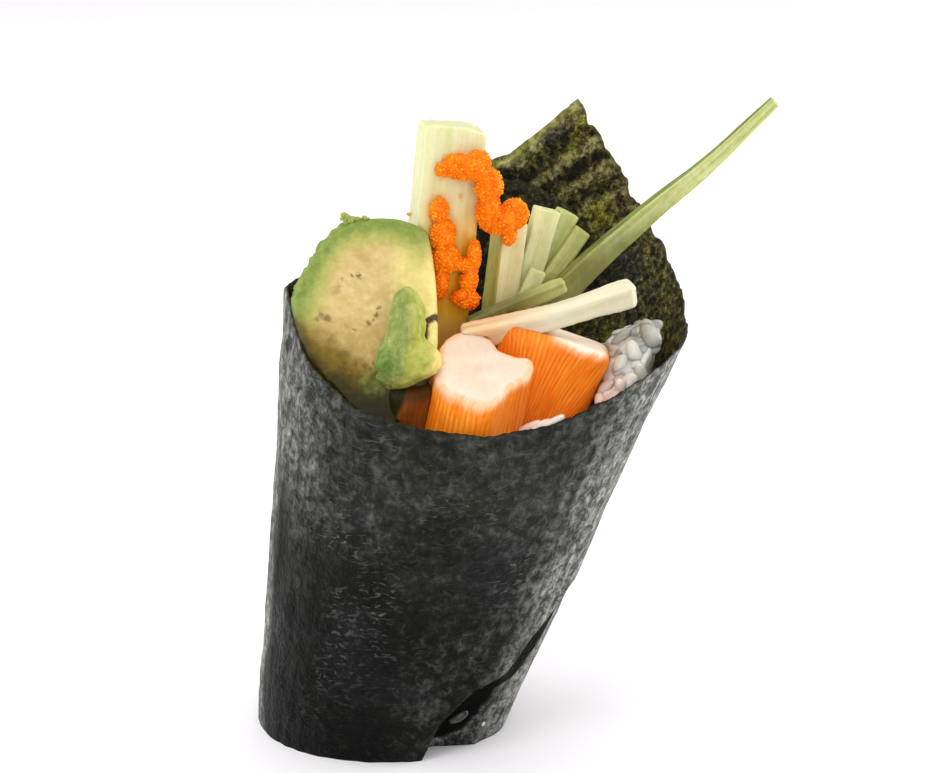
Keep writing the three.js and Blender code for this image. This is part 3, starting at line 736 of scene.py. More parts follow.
# ------------------------------------------------------------------ crab sticks
def crab_material(name, line_at=1.1, soft_band=1.2, white=True, shade=0.0):
    M = Mat(name, Roughness=0.40)
    wet(M, 0.0 if shade else 0.03, 0.25, 0.06 if shade else 0.15)
    flesh(M, 0.10, (1.0, 0.6, 0.35), 0.0008)
    P = M.coords((1, 1, 1), "place")
    sep = M.node("ShaderNodeSeparateXYZ")
    M.link(P, sep.inputs[0])
    # fibres: light and dark lines side by side along the stick
    drift = M.noise(M.coords((0.16, 0.10, 0.2), "place"), 1.0, 2.0, 0.5)
    wander = M.noise(M.coords((0.6, 0.22, 0.4), "place"), 1.0, 2.0, 0.5)
    ph = M.math("ADD", M.math("MULTIPLY", sep.outputs["X"], 7.2), M.math("MULTIPLY", drift, 9.0))
    ph = M.math("ADD", ph, M.math("MULTIPLY", wander, 3.2))
    wave = M.math("MULTIPLY", M.math("ADD", M.math("SINE", ph), 1.0), 0.5)
    fine = M.noise(M.coords((2.4, 0.20, 1.0), "place"), 1.0, 3.0, 0.6)
    cloud = M.noise(M.coords((0.28, 0.16, 0.3), "place"), 1.0, 3.0, 0.6)
    amp = M.step(M.noise(M.coords((0.35, 0.12, 0.3), "place"), 1.0, 2.0, 0.5), 0.30, 0.62)
    tone = M.math("ADD", M.math("MULTIPLY", M.math("MULTIPLY", M.math("SUBTRACT", wave, 0.5), amp), 0.20), 0.5)
    tone = M.math("ADD", tone, M.math("MULTIPLY", M.math("SUBTRACT", fine, 0.5), 0.55))
    tone = M.math("ADD", tone, M.math("MULTIPLY", M.math("SUBTRACT", cloud, 0.5), 0.45))
    skin = M.ramp(tone, [(0.24, "#da5c06"), (0.38, "#f0740c"), (0.52, "#fb8a1c"), (0.66, "#ffa136"), (0.82, "#ffba5c")])
    dash = M.noise(M.coords((1.6, 0.45, 1.0), "place"), 1.0, 2.0, 0.6)
    near = M.step(sep.outputs["Y"], 4.5, 1.5)
    skin = M.mix(M.math("MULTIPLY", M.math("MULTIPLY", M.step(dash, 0.61, 0.70), near), 0.4), skin, "#b8560f")
    # painted shade: deeper colour on the flank that turns away from the light
    skin = M.mix(M.math("MULTIPLY", M.attr("away"), 0.6), skin, M.ramp(tone, [(0.3, "#b64405"), (0.5, "#d45808"), (0.75, "#ea6e0c")]))
    col = skin
    if white:
        edge = M.noise(M.coords((0.36, 0.10, 0.3), "place"), 1.0, 3.0, 0.62)
        m = M.math("ADD", M.math("MULTIPLY", sep.outputs["Z"], 1.3), M.math("MULTIPLY", M.math("SUBTRACT", edge, 0.5), 3.2))
        m = M.math("ADD", M.math("SUBTRACT", m, sep.outputs["Y"]), line_at)
        m = M.math("ADD", m, M.math("MULTIPLY", M.attr("lid"), 1.55))
        soft = M.noise(M.coords(), 260, 3, 0.6)
        pale = M.ramp(soft, [(0.3, "#decaaf"), (0.5, "#e3ceb8"), (0.7, "#e8d5c0")])
        peach = M.ramp(fine, [(0.35, "#eea062"), (0.6, "#f3b887")])
        col = M.mix(M.step(m, -soft_band, 0.25), skin, peach)
        # painted light: a brighter white where lid is set, on the back stick's top face
        pale = M.mix(M.attr("lid"), pale, "#fdead4")
        col = M.mix(M.step(m, -0.1, soft_band), col, pale)
    # painted shade: a stick in the roll's shadow is coloured dark brown, and near black where lid is set (the left
    # stick's left part and top edge)
    if shade:
        col = M.mix(shade, col, M.ramp(cloud, [(0.3, "#38200f"), (0.6, "#5e3a1c"), (0.8, "#7a4d2a")]))
        col = M.mix(M.attr("lid"), col, M.ramp(cloud, [(0.3, "#15140a"), (0.6, "#26230e"), (0.8, "#37321a")]))
    M.base(col)
    h = M.math("ADD", M.math("MULTIPLY", tone, 0.9), M.math("MULTIPLY", M.noise(M.coords(), 1400, 3, 0.6), 0.3))
    M.normal(M.bump(h, 0.45, 0.0004))
    return M.m


def crab(name, seed, mat, away=None, lid=None, **kw):
    def relief(L, A, D, K):
        groove = np.sin(A * 7.2 + 3.0 * noise(np.stack([A / 4, D / 14, A * 0], -1), 1.0, seed))
        side = 0.03 * groove * smooth(D, 0.8, 3.2) + 0.12 * noise(np.stack([A, D / 2.5, A * 0], -1), 2.6, seed + 1)
        side = side + 0.07 * noise(np.stack([A, D, A * 0], -1), 0.9, seed + 6) * smooth(D, 6, 0.5) - 0.08
        cap = 0.12 * noise(L, 3.4, seed + 2) + 0.05 * noise(L, 1.2, seed + 3)
        return side, cap

    def extra(right, back, D, K):
        return {"away": away(right, back, D) if away else right * 0, "lid": lid(right, back, D) if lid else right * 0}
    stick(name, mat, "crab", relief=relief, seed=seed, wavy=0.0, extra=extra, **kw)


CRAB_FRONT_SECTION = [
    (-7.4, -1.7), (-7.2, -4.3), (-6.1, -6.1), (-4.1, -7.5), (-2.2, -8.4), (-0.5, -9.3), (1.1, -9.6), (2.6, -8.9),
    (3.9, -6.8), (5.2, -4.3), (6.4, -2.9), (7.8, -1.4), (8.4, 0.2), (8.6, 1.9), (8.2, 3.1), (7.2, 4.0), (5.3, 3.8),
    (2.6, 5.1), (1.3, 7.4), (-1.3, 9.0), (-3.6, 8.9), (-5.0, 8.1), (-6.4, 6.6), (-7.1, 4.6), (-7.2, 1.4)]
crab("crab_stick_front", 61, crab_material("crab_front_surimi", 0.55, 1.3), top=(16.5, -15.4, 68.2), up=(.2, .03, 1),
     length=36, outline=CRAB_FRONT_SECTION, skew=(.1, .4), n=280, rows=60, bevel=0.8,
     away=lambda right, back, D: smooth(right, 4.6, 8.0) * smooth(back, 3, -2) * 0.7)
crab("crab_stick_back", 71, crab_material("crab_back_surimi", -0.55, 1.0), top=(29.3, -4.0, 70.5), up=(.4, .03, 1), turn=-2,
     w=18.8, d=10.4, length=38, r=3, narrow=.86, skew=(.05, -.03), n=280, rows=60, bevel=1.9, fan=0.05,
     away=lambda right, back, D: np.maximum(smooth(D, 5.5, 12) * smooth(right, 0, 8), 0.8 * smooth(-right, 4.5, 8)),
     lid=lambda right, back, D: smooth(right, -2.6, 0.4) * (1 - 0.6 * smooth(right, 7.2, 9)))
# the left stick sits in shadow: its colour is painted shade
crab("crab_stick_left", 81, crab_material("crab_left_surimi", white=False, shade=0.82), top=(4.9, -17.4, 66.4),
     up=(.14, -.02, 1), turn=20, w=7.4, d=8.6, length=24, r=2.2, skew=(.1, .2), n=140, rows=40, bevel=1.2,
     away=lambda right, back, D: right * 0 + 1,
     lid=lambda right, back, D: np.maximum(smooth(-(right + 0.34 * D + 0.1), -0.5, 0.5), 0.75 * smooth(D, 1.8, 0.3)))


# ------------------------------------------------------------------ cucumber and the pale stick
def cucumber_material(name, light, mid, deep, skin=("#2a3f12", "#56722a"), weight=0.35, tint_and_shade=None, rough=0.34,
                      tint_and_shade2=None):
    M = Mat(name, Roughness=rough)
    wet(M, 0.12, 0.2, 0.3)
    flesh(M, weight, (0.9, 1.0, 0.35), 0.0018)
    streak = M.noise(M.coords((0.75, 0.045, 0.75), "place"), 1.0, 4.0, 0.62, 0.2)
    cell = M.noise(M.coords(), 900, 3, 0.6)
    tone = M.math("ADD", M.math("MULTIPLY", streak, 0.72), M.math("MULTIPLY", cell, 0.28))
    col = M.ramp(tone, [(0.34, deep), (0.50, mid), (0.66, light)])
    blotch = M.noise(M.coords((1, 1, 0.5)), 240, 3, 0.6)
    peel = M.ramp(blotch, [(0.3, skin[0]), (0.55, skin[1]), (0.8, "#7f9a45")])
    edge = M.math("ADD", M.attr("skin"), M.math("MULTIPLY", M.math("SUBTRACT", streak, 0.5), 0.5))
    col = M.mix(M.step(edge, 0.35, 0.62), col, peel)
    if tint_and_shade:
        col = M.mix(M.attr("tint_and_shade"), col, M.mix(M.step(blotch, 0.4, 0.6), tint_and_shade, tint_and_shade2 or tint_and_shade))
    M.base(col)
    h = M.math("ADD", M.math("MULTIPLY", streak, 0.7), M.math("MULTIPLY", cell, 0.4))
    M.normal(M.bump(h, 0.4, 0.0003))
    return M.m


def cut_relief(seed, depth=0.07):
    def relief(L, A, D, K):
        side = depth * noise(np.stack([A / 0.9, D / 14, A * 0], -1), 1.0, seed)
        side = side + depth * 0.9 * noise(np.stack([A / 3.2, D / 6, A * 0], -1), 1.0, seed + 1)
        side = side + depth * 0.5 * noise(np.stack([A, D, A * 0], -1), 0.7, seed + 2)
        cap = 0.14 * noise(L, 1.6, seed + 3) + 0.20 * noise(L, 4.0, seed + 4)
        return side, cap
    return relief


def face(axis, sign, lo=0.55, hi=0.9):
    """1 on the side of the section that looks along +-axis."""
    return lambda L, N, A, D: smooth(N[..., axis] * sign, lo, hi) * (D > 0.1)


def no_skin(L, N, A, D):
    return A * 0


# lobes of roe, in the tall stick's own frame: across, down, out, half-width, half-height
ROE_UPPER = [
    (2.1, 6.3, 3.3, 3.2, 1.9), (-0.8, 7.0, 3.2, 1.4, 1.1), (4.7, 5.8, 3.6, 1.9, 2.3), (6.8, 9.0, 3.0, 2.0, 2.6),
    (7.1, 13.1, 2.6, 1.7, 3.0), (9.0, 15.1, 1.4, 2.7, 1.9), (11.5, 13.7, .4, 2.2, 2.3), (11.0, 17.2, .9, 1.1, 1.5)]
ROE_LOWER = [
    (-.9, 13.8, 3.5, 1.4, 1.9), (.2, 18.0, 3.7, 1.8, 2.8), (1.0, 21.6, 3.7, 2.1, 2.3), (3.4, 22.4, 3.4, 1.7, .9),
    (.6, 25.8, 3.8, 1.1, 2.6), (5.6, 21.3, 2.8, 1.0, 2.8), (5.2, 25.0, 2.9, 1.3, 2.2), (5.0, 28.2, 3.2, 2.1, 1.5)]
TALL = dict(top=(11.9, 6.4, 103.1), up=(.103, .07, 1))


def tall_stick():
    M = cucumber_material("cucumber_tall_flesh", "#e0dfb5", "#d9d8a8", "#ccd291", weight=0.4, tint_and_shade="#df9800", tint_and_shade2="#dca81c")
    L, N, A, D, K, S = stick_grid(10.6, 5.2, 0.5, 62, 150, 90, 0.35, 12)
    side, cap = cut_relief(91, 0.09)(L, A, D, K)
    x = L[..., 0] + N[..., 0] * side * S
    y = L[..., 1] + N[..., 1] * side * S
    t = np.clip(-L[..., 2] / 62, 0, 1)
    c, s = math.cos(math.radians(19)), math.sin(math.radians(19))
    right, back = x * c - y * s, x * s + y * c
    # the cut top: a shallow step and a broken right corner
    chip = -0.5 * smooth(right, 2.6, 5.2) - 0.25 * smooth(right, -3.4, -4.6) + 0.25 * bell(right, 0.6, 1.8)
    z = L[..., 2] + (1 - t) * (right * -.06 + back * .05) + cap * (K > 0) * 0.8 + chip * smooth(D, 5, 0)
    o, X, Y, Z = frame_at(TALL["top"], TALL["up"], 19)
    P = o + x[..., None] * X + y[..., None] * Y + z[..., None] * Z
    # warm tint on the flesh round the roe and lower down
    o2, X2, Y2, Z2 = frame_at(TALL["top"], TALL["up"], 0)
    rel = P - o2
    ax, dn = rel @ X2, -(rel @ Z2)
    near = np.zeros(ax.shape)
    for a, d, _, rx, rz in ROE_UPPER + ROE_LOWER:
        near = np.maximum(near, np.exp(-np.maximum(0, np.hypot((ax - a) / (rx + 0.6), (dn - d) / (rz + 0.6)) - 1) * 2.2))
    low = smooth(dn, 14, 30) * (1 + 0.8 * smooth(dn, 26, 32))
    tint_and_shade = (0.40 + 0.35 * smooth(dn, 12, 18)) * near * smooth(dn, 3, 12) * (1 - 0.3 * smooth(dn, 30, 40)) + 0.45 * low
    tint_and_shade = np.maximum(tint_and_shade, bell(ax, 3.0, 2.6) * bell(dn, 25.6, 3.2))
    tint_and_shade = np.maximum(tint_and_shade, bell(ax, 4.4, 3.0) * bell(dn, 20.5, 6.5))
    # painted shade: a little peel colour darkens the tall stick's left face
    skin = 0.34 * face(0, -1)(L, N, A, D) * (1 - smooth(D, 30, 40))
    grown("cucumber_tall", M, P, np.stack([A, D, K], -1), {"skin": skin, "tint_and_shade": tint_and_shade},
          ("cucumber_tall",))


tall_stick()

THIN = {
    "cucumber_stick_a": dict(top=(21.3, 9.6, 86.0), up=(.11, .05, 1), turn=26, w=4.7, d=4.6, length=44),
    "cucumber_stick_b": dict(top=(27.6, 12.2, 87.4), up=(.27, .12, 1), turn=12, w=4.2, d=3.4, length=42),
    "cucumber_stick_c": dict(top=(31.2, 14.0, 86.4), up=(.52, .16, 1), turn=16, w=3.6, d=3.2, length=30),
    "cucumber_stick_d": dict(top=(33.6, 12.6, 83.6), up=(.72, .24, 1), turn=8, w=3.0, d=3.0, length=26),
    "cucumber_stick_e": dict(top=(26.1, 6.6, 78.2), up=(.45, .2, 1), turn=0, w=2.8, d=2.4, length=24),
}
THIN_LOOK = {
    "cucumber_stick_a": ("#f0e8bd", "#e6dca6", "#d6cf92", face(0, -1, 0.2, 0.7)),
    "cucumber_stick_b": ("#e2dfb0", "#d4d39b", "#c3c682", no_skin),
    "cucumber_stick_c": ("#c3c58b", "#b4b772", "#a0a55a", no_skin),
    "cucumber_stick_d": ("#b9bb7d", "#a5a75c", "#8f9246", no_skin),
    "cucumber_stick_e": ("#ced099", "#bec182", "#a7ab63", no_skin),
}
for i, (name, spec) in enumerate(THIN.items()):
    light, mid, deep, skin = THIN_LOOK[name]
    stick(name, cucumber_material(name + "_flesh", light, mid, deep, ("#a5a652", "#c0c069")), "cucumber", n=72, rows=50, bevel=0.28, r=0.45,
          relief=cut_relief(101 + 7 * i), skin=skin, seed=31 + i, wavy=0.12, **spec)


def spline(points, n):
    """The centripetal Catmull-Rom curve through points, n places evenly along it, with the run there."""
    p = [np.array(q, float) for q in points]
    p = [2 * p[0] - p[1]] + p + [2 * p[-1] - p[-2]]
    out = []
    for i in range(1, len(p) - 2):
        x0, x1, x2, x3 = p[i - 1], p[i], p[i + 1], p[i + 2]
        d0, d1, d2 = (max(float(np.sum((b - a) ** 2)) ** 0.25, 1e-4) for a, b in ((x0, x1), (x1, x2), (x2, x3)))
        t1 = ((x1 - x0) / d0 - (x2 - x0) / (d0 + d1) + (x2 - x1) / d1) * d1
        t2 = ((x2 - x1) / d1 - (x3 - x1) / (d1 + d2) + (x3 - x2) / d2) * d1
        t = np.linspace(0, 1, 120, endpoint=False)[:, None]
        out.append(x1 + t1 * t + (-3 * x1 + 3 * x2 - 2 * t1 - t2) * t ** 2 + (2 * x1 - 2 * x2 + t1 + t2) * t ** 3)
    C = np.vstack(out + [p[-2][None]])
    s = np.concatenate([[0], np.cumsum(np.linalg.norm(np.diff(C, axis=0), axis=1))])

    def at(u):
        return np.stack([np.interp(u * s[-1], s, C[:, k]) for k in range(3)], -1)
    u = np.linspace(0, 1, n) if np.isscalar(n) else np.asarray(n)
    e = 0.004
    run = at(np.clip(u + e, 0, 1)) - at(np.clip(u - e, 0, 1))
    return at(u), run / np.linalg.norm(run, axis=-1, keepdims=True), s[-1]


def bowed(name, mat, points, w, d, tip=1.0, turn=0.0, r=0.5, n=72, rows=80, bevel=0.3, relief=None,
          skin=None, foot_round=1.0, tip_round=1.0, swell=None, tint_and_shade=None):
    _, _, length = spline(points, 2)
    L, N, A, D, K, S = stick_grid(w, d, r, length, n, rows, bevel, 7, 1.0, True)
    u = np.clip(1 + L[:, 0, 2] / length, 0, 1)
    C, run, _ = spline(points, u)
    side = np.cross(np.array([0, 1.0, 0]), run)
    side /= np.linalg.norm(side, axis=-1, keepdims=True)
    face_ = np.cross(run, side)
    face_ /= np.linalg.norm(face_, axis=-1, keepdims=True)
    rel, cap = relief(L, A, D, K) if relief else (0 * A, 0 * A)
    k = (1 + (tip - 1) * u)[:, None]
    if swell is not None:
        k = k * swell(u)[:, None]
    # rounded corners at the ends
    end_mm = np.minimum(u, 1 - u)[:, None] * length
    k = k * (1 - (1 - foot_round) * (u[:, None] < 0.5) * np.exp(-end_mm / 0.8) - (1 - tip_round) * (u[:, None] >= 0.5) * np.exp(-end_mm / 0.8))
    x = L[..., 0] * k + N[..., 0] * rel * S * k
    y = L[..., 1] * k + N[..., 1] * rel * S * k
    c, s = math.cos(math.radians(turn)), math.sin(math.radians(turn))
    sgn = np.where(u > 0.5, 1, -1)[:, None]
    P = (C[:, None] + (x * c - y * s)[..., None] * side[:, None] + (x * s + y * c)[..., None] * face_[:, None]
         + (cap * sgn * (K > 0))[..., None] * run[:, None])
    attrs = {"skin": skin(L, N, A, D) if skin else A * 0, "tint_and_shade": tint_and_shade(L, N, A, D) if tint_and_shade else A * 0}
    return grown(name, mat, P, np.stack([A, D, K], -1), attrs, (name,))


def strip_skin(L, N, A, D):
    return 0.9 * smooth(-N[..., 0], 0.55, 0.9) * (D > 0.05) * (0.55 + 0.45 * smooth(D, 45, 20))


bowed("cucumber_strip", cucumber_material("cucumber_strip_flesh", "#d3d4a1", "#b8bd77", "#959e4d", ("#4c5f22", "#77863a"),
                                          tint_and_shade="#6b6c30", tint_and_shade2="#7e803c"),
      [[24.5, 7.4, 66.5], [31.5, 8.8, 75.2], [44.2, 12.0, 86.3], [54.4, 14.2, 94.4], [65.6, 15.6, 105.0]],
      5.2, 3.0, .36, 8, n=84, rows=130, bevel=0.35, relief=cut_relief(141, 0.08), skin=strip_skin,
      tint_and_shade=lambda L, N, A, D: 0.85 * smooth(D + 2.0 * L[..., 0], 22, 40))
# painted shade: stick f darkens to olive away from its upper end, down towards its foot
bowed("cucumber_stick_f", cucumber_material("cucumber_stick_f_flesh", "#bfc185", "#adb06a", "#93984d", tint_and_shade="#5f5f28", tint_and_shade2="#737332"),
      [[14.6, .2, 70.6], [22, 2.0, 73.4], [30.4, 4.2, 76.5]], 2.6, 2.4, 1, 10, rows=44, relief=cut_relief(151),
      tip_round=0.8, tint_and_shade=lambda L, N, A, D: 0.85 * smooth(D, 2.5, 8.5))


def pale_material():
    M = Mat("pale_stick_flesh", Roughness=0.32)
    wet(M, 0.12, 0.25, 0.3)
    flesh(M, 0.4, (1.0, 0.8, 0.5), 0.0018)
    P = M.coords((1, 1, 1), "place")
    sep = M.node("ShaderNodeSeparateXYZ")
    M.link(P, sep.inputs[0])
    streak = M.noise(M.coords((0.7, 0.05, 0.7), "place"), 1.0, 4.0, 0.6)
    blot = M.noise(M.coords(), 260, 3, 0.6)
    col = M.ramp(streak, [(0.34, "#d3cba4"), (0.5, "#dcd6b7"), (0.66, "#e4dfc9")])
    warm = M.ramp(streak, [(0.34, "#d3a873"), (0.5, "#dfb88c"), (0.66, "#e9caa6")])
    far = M.math("ADD", sep.outputs["Y"], M.math("MULTIPLY", M.math("SUBTRACT", blot, 0.5), 8.0))
    col = M.mix(M.step(far, 13.0, 27.0), col, warm)
    col = M.mix(M.math("MULTIPLY", M.step(blot, 0.58, 0.7), 0.3), col, "#d9d7a2")
    M.base(col)
    M.normal(M.bump(M.math("ADD", streak, M.math("MULTIPLY", blot, 0.5)), 0.35, 0.0003))
    return M.m


bowed("pale_stick", pale_material(), [[13.4, -5.3, 70.0], [27.8, -6.2, 73.8], [41.6, -1.0, 76.8]], 4.2, 3.6,
      1, 14, r=1.1, n=84, rows=80, bevel=0.9, relief=cut_relief(161, 0.10), tip_round=0.88,
      swell=lambda u: 1 + 0.05 * np.sin(u * 7.0 + 0.6) + 0.05 * smooth(u, 0.75, 0.9))


# ------------------------------------------------------------------ avocado
LEAN_COS, LEAN_SIN = math.cos(math.radians(40)), math.sin(math.radians(40))
SLICE_AT = np.array([-3.0, -10.0, 76.0])
SLICE_X = np.array([1.0, 0, 0])
SLICE_Y = np.array([0, LEAN_SIN, LEAN_COS])
SLICE_Z = np.array([0, -LEAN_COS, LEAN_SIN])
SPOTS = [(-0.2, 6.0, .42, .8), (-1.35, 5.95, .28, .7), (-4.1, 3.0, .85, .3), (-3.7, 3.9, .5, .35), (1.2, -2.25, .40, .8),
         (2.55, -1.1, .45, .8), (2.9, 0.2, .32, .6), (-5.4, -1.6, .65, .7), (-6.2, -0.9, .5, .55), (-6.9, -1.6, .4, .5),
         (-1.0, -3.3, .32, .6), (0.9, -9.8, .55, .6), (2.4, -9.4, .4, .6), (-0.6, -9.6, .4, .55), (1.8, -10.4, .35, .6),
         (-2.9, 5.2, .25, .4), (2.0, -1.9, .25, .6), (-4.6, -5.4, .7, .3), (-2.2, -7.6, .6, .3)]


def bezier(a, b, c, d, n=60):
    t = np.linspace(0, 1, n, endpoint=False)[:, None]
    a, b, c, d = (np.array(p, float) for p in (a, b, c, d))
    return (1 - t) ** 3 * a + 3 * (1 - t) ** 2 * t * b + 3 * (1 - t) * t ** 2 * c + t ** 3 * d


def avocado_material(name, piece=False):
    M = Mat(name, Roughness=0.5)
    wet(M, 0.0, 0.25, 0.14)
    flesh(M, 0.30, (1.0, 0.75, 0.25), 0.0016)
    P = M.coords((1, 1, 0), "place")
    obj = M.coords()
    soft = M.noise(obj, 160, 3, 0.6)
    fine = M.noise(obj, 700, 4, 0.65)
    if piece:
        sep = M.node("ShaderNodeSeparateXYZ")
        M.link(P, sep.inputs[0])
        left, high = sep.outputs["X"], sep.outputs["Y"]
        jag = M.math("MULTIPLY", M.math("SUBTRACT", soft, 0.5), 5.0)
        green = M.ramp(fine, [(0.3, "#71823f"), (0.5, "#8a974f"), (0.7, "#a3ab66")])
        yellow = M.ramp(fine, [(0.3, "#92983c"), (0.5, "#a7a94b"), (0.7, "#babb62")])
        col = M.mix(M.step(M.math("ADD", left, jag), -1.2, 1.6), green, yellow)
        col = M.mix(M.math("MULTIPLY", M.step(M.math("ADD", left, jag), 2.6, 4.6), M.step(high, 2.0, -3.0)), col, "#dfca78")
        low = M.step(M.math("ADD", high, jag), -3.0, -7.5)
        col = M.mix(M.math("MULTIPLY", low, 0.85), col, M.ramp(fine, [(0.3, "#6f6325"), (0.55, "#978541"), (0.75, "#b8a65e")]))
        dark = M.math("MULTIPLY", M.step(M.math("ADD", left, M.math("MULTIPLY", jag, 0.5)), 0.2, -3.4), M.step(high, -0.5, -4.5))
        col = M.mix(M.math("MULTIPLY", dark, 0.85), col, M.ramp(fine, [(0.3, "#2f5a1e"), (0.6, "#5d8038"), (0.8, "#8aa565")]))
        pale = M.step(M.noise(obj, 420, 3, 0.7), 0.60, 0.72)
        col = M.mix(M.math("MULTIPLY", pale, 0.45), col, "#c0c88a")
        shade = M.math("MULTIPLY", M.step(high, -2.5, -6.5), 0.4)
        col = M.mix(shade, col, "#6d6a28")
    else:
        warp = M.node("ShaderNodeVectorMath", operation="MULTIPLY_ADD")
        M.link(M.noise(obj, 230, 3, 0.6, out="Color"), warp.inputs[0])
        warp.inputs[1].default_value = (1.3, 1.3, 0)
        M.link(P, warp.inputs[2])
        sep = M.node("ShaderNodeSeparateXYZ")
        M.link(warp.outputs[0], sep.inputs[0])
        x, y = sep.outputs["X"], sep.outputs["Y"]
        rim = M.math("ADD", M.attr("rim"), M.math("MULTIPLY", M.math("SUBTRACT", soft, 0.5), 1.6))
        centre = M.ramp(fine, [(0.3, "#c0a668"), (0.5, "#cdb479"), (0.7, "#d8c18a")])
        tan = M.ramp(fine, [(0.3, "#a08547"), (0.5, "#ae9355"), (0.7, "#bda367")])
        col = M.mix(M.math("MULTIPLY", M.step(y, 1.5, -4.0), 0.8), centre, tan)
        col = M.mix(M.math("MULTIPLY", M.step(soft, 0.54, 0.68), 0.45), col, "#a68c4c")
        # pale yellow side to the right
        cream = M.ramp(fine, [(0.3, "#d2c170"), (0.5, "#dccb7e"), (0.7, "#e4d590")])
        col = M.mix(M.step(M.math("ADD", x, M.math("MULTIPLY", y, -0.08)), 3.6, 7.8), col, cream)
        # yellow-green shoulder, then the green band below the skin
        lime = M.ramp(fine, [(0.3, "#9b9d4a"), (0.5, "#a8a857"), (0.7, "#b4b369")])
        green = M.ramp(fine, [(0.3, "#6c843a"), (0.5, "#7f9144"), (0.7, "#929f52")])
        col = M.mix(M.math("MULTIPLY", M.step(rim, 6.2, 3.0), M.attr("green")), col, lime)
        col = M.mix(M.math("MULTIPLY", M.step(rim, 3.6, 1.2), M.attr("green")), col, green)
        # the foot of the slice darkens to brown, then near black: partly browned flesh, partly painted shade from the
        # nori wall
        brown = M.ramp(fine, [(0.3, "#5d4a0b"), (0.5, "#6f5a13"), (0.7, "#826b20")])
        deep = M.ramp(fine, [(0.3, "#211e02"), (0.5, "#302a05"), (0.7, "#443a0c")])
        fall = M.math("ADD", M.math("MULTIPLY", x, -0.52), M.math("MULTIPLY", y, -0.85))
        fall = M.math("ADD", fall, M.math("MULTIPLY", M.math("SUBTRACT", soft, 0.5), 3.0))
        col = M.mix(M.step(fall, 3.6, 9.0), col, brown)
        col = M.mix(M.step(fall, 8.2, 12.4), col, deep)
        # painted shade along the outline near the foot, where the slice meets the nori wall
        wall = M.math("SUBTRACT", 1.0, M.step(rim, 0.5, 3.2))
        col = M.mix(M.math("MULTIPLY", M.math("MULTIPLY", wall, M.step(fall, 4.5, 8.0)), 0.8), col, deep)
        # brown specks where the stone lay
        warp2 = M.node("ShaderNodeVectorMath", operation="MULTIPLY_ADD")
        M.link(M.noise(obj, 1500, 2, 0.6, out="Color"), warp2.inputs[0])
        warp2.inputs[1].default_value = (1.5, 1.5, 0)
        M.link(warp.outputs[0], warp2.inputs[2])
        near = None
        for sx, sy, r, deep_ in SPOTS:
            dist = M.node("ShaderNodeVectorMath", operation="DISTANCE")
            M.link(warp2.outputs[0], dist.inputs[0])
            dist.inputs[1].default_value = (sx + 1.4, sy + 1.4, 0)
            s = M.math("MULTIPLY", M.step(dist.outputs["Value"], r * 1.7, r * 0.3), deep_)
            near = s if near is None else M.math("MAXIMUM", near, s)
        col = M.mix(near, col, "#5a4206")
        # the dark crack at the slice's right edge, and the shadowed cleft that runs down from it
        crack = M.math("ABSOLUTE", M.math("SUBTRACT", M.math("SUBTRACT", y, M.math("MULTIPLY", x, 0.58)), -8.05 + 0.65 * 0.42))
        crack = M.math("MULTIPLY", M.step(M.math("ADD", crack, M.math("MULTIPLY", fine, 0.5)), 1.15, 0.60), M.step(x, 9.2, 10.2))
        cleft = M.math("ABSOLUTE", M.math("SUBTRACT", x, 11.1))
        cleft = M.math("MULTIPLY", M.step(M.math("ADD", cleft, M.math("MULTIPLY", fine, 0.6)), 1.0, 0.5), M.step(y, -0.6, -1.8))
        cleft = M.math("MULTIPLY", cleft, M.step(y, -6.6, -5.0))
        # the browned, shadowed foot to the right, and torn flesh smeared over it
        under = M.math("ADD", M.math("SUBTRACT", M.math("MULTIPLY", x, 0.42), y), M.math("MULTIPLY", M.math("SUBTRACT", soft, 0.5), 3.0))
        col = M.mix(M.math("MULTIPLY", M.step(under, 13.2, 16.2), 0.9), col, "#27230a")
        smear = M.node("ShaderNodeVectorMath", operation="DISTANCE")
        M.link(warp2.outputs[0], smear.inputs[0])
        smear.inputs[1].default_value = (3.4, -11.4, 0)
        smear = M.math("ADD", smear.outputs["Value"], M.math("MULTIPLY", soft, 3.0))
        col = M.mix(M.math("MULTIPLY", M.step(smear, 4.6, 2.6), 0.7), col, M.ramp(fine, [(0.3, "#334213"), (0.5, "#526026"), (0.7, "#78863c")]))
        col = M.mix(M.math("MULTIPLY", M.math("MAXIMUM", crack, cleft), 0.96), col, "#3c2802")
    M.base(col)
    h = M.math("ADD", M.math("MULTIPLY", soft, 0.6), M.math("MULTIPLY", fine, 0.6))
    M.normal(M.bump(h, 0.9 if piece else 0.55, 0.0004))
    return M.m


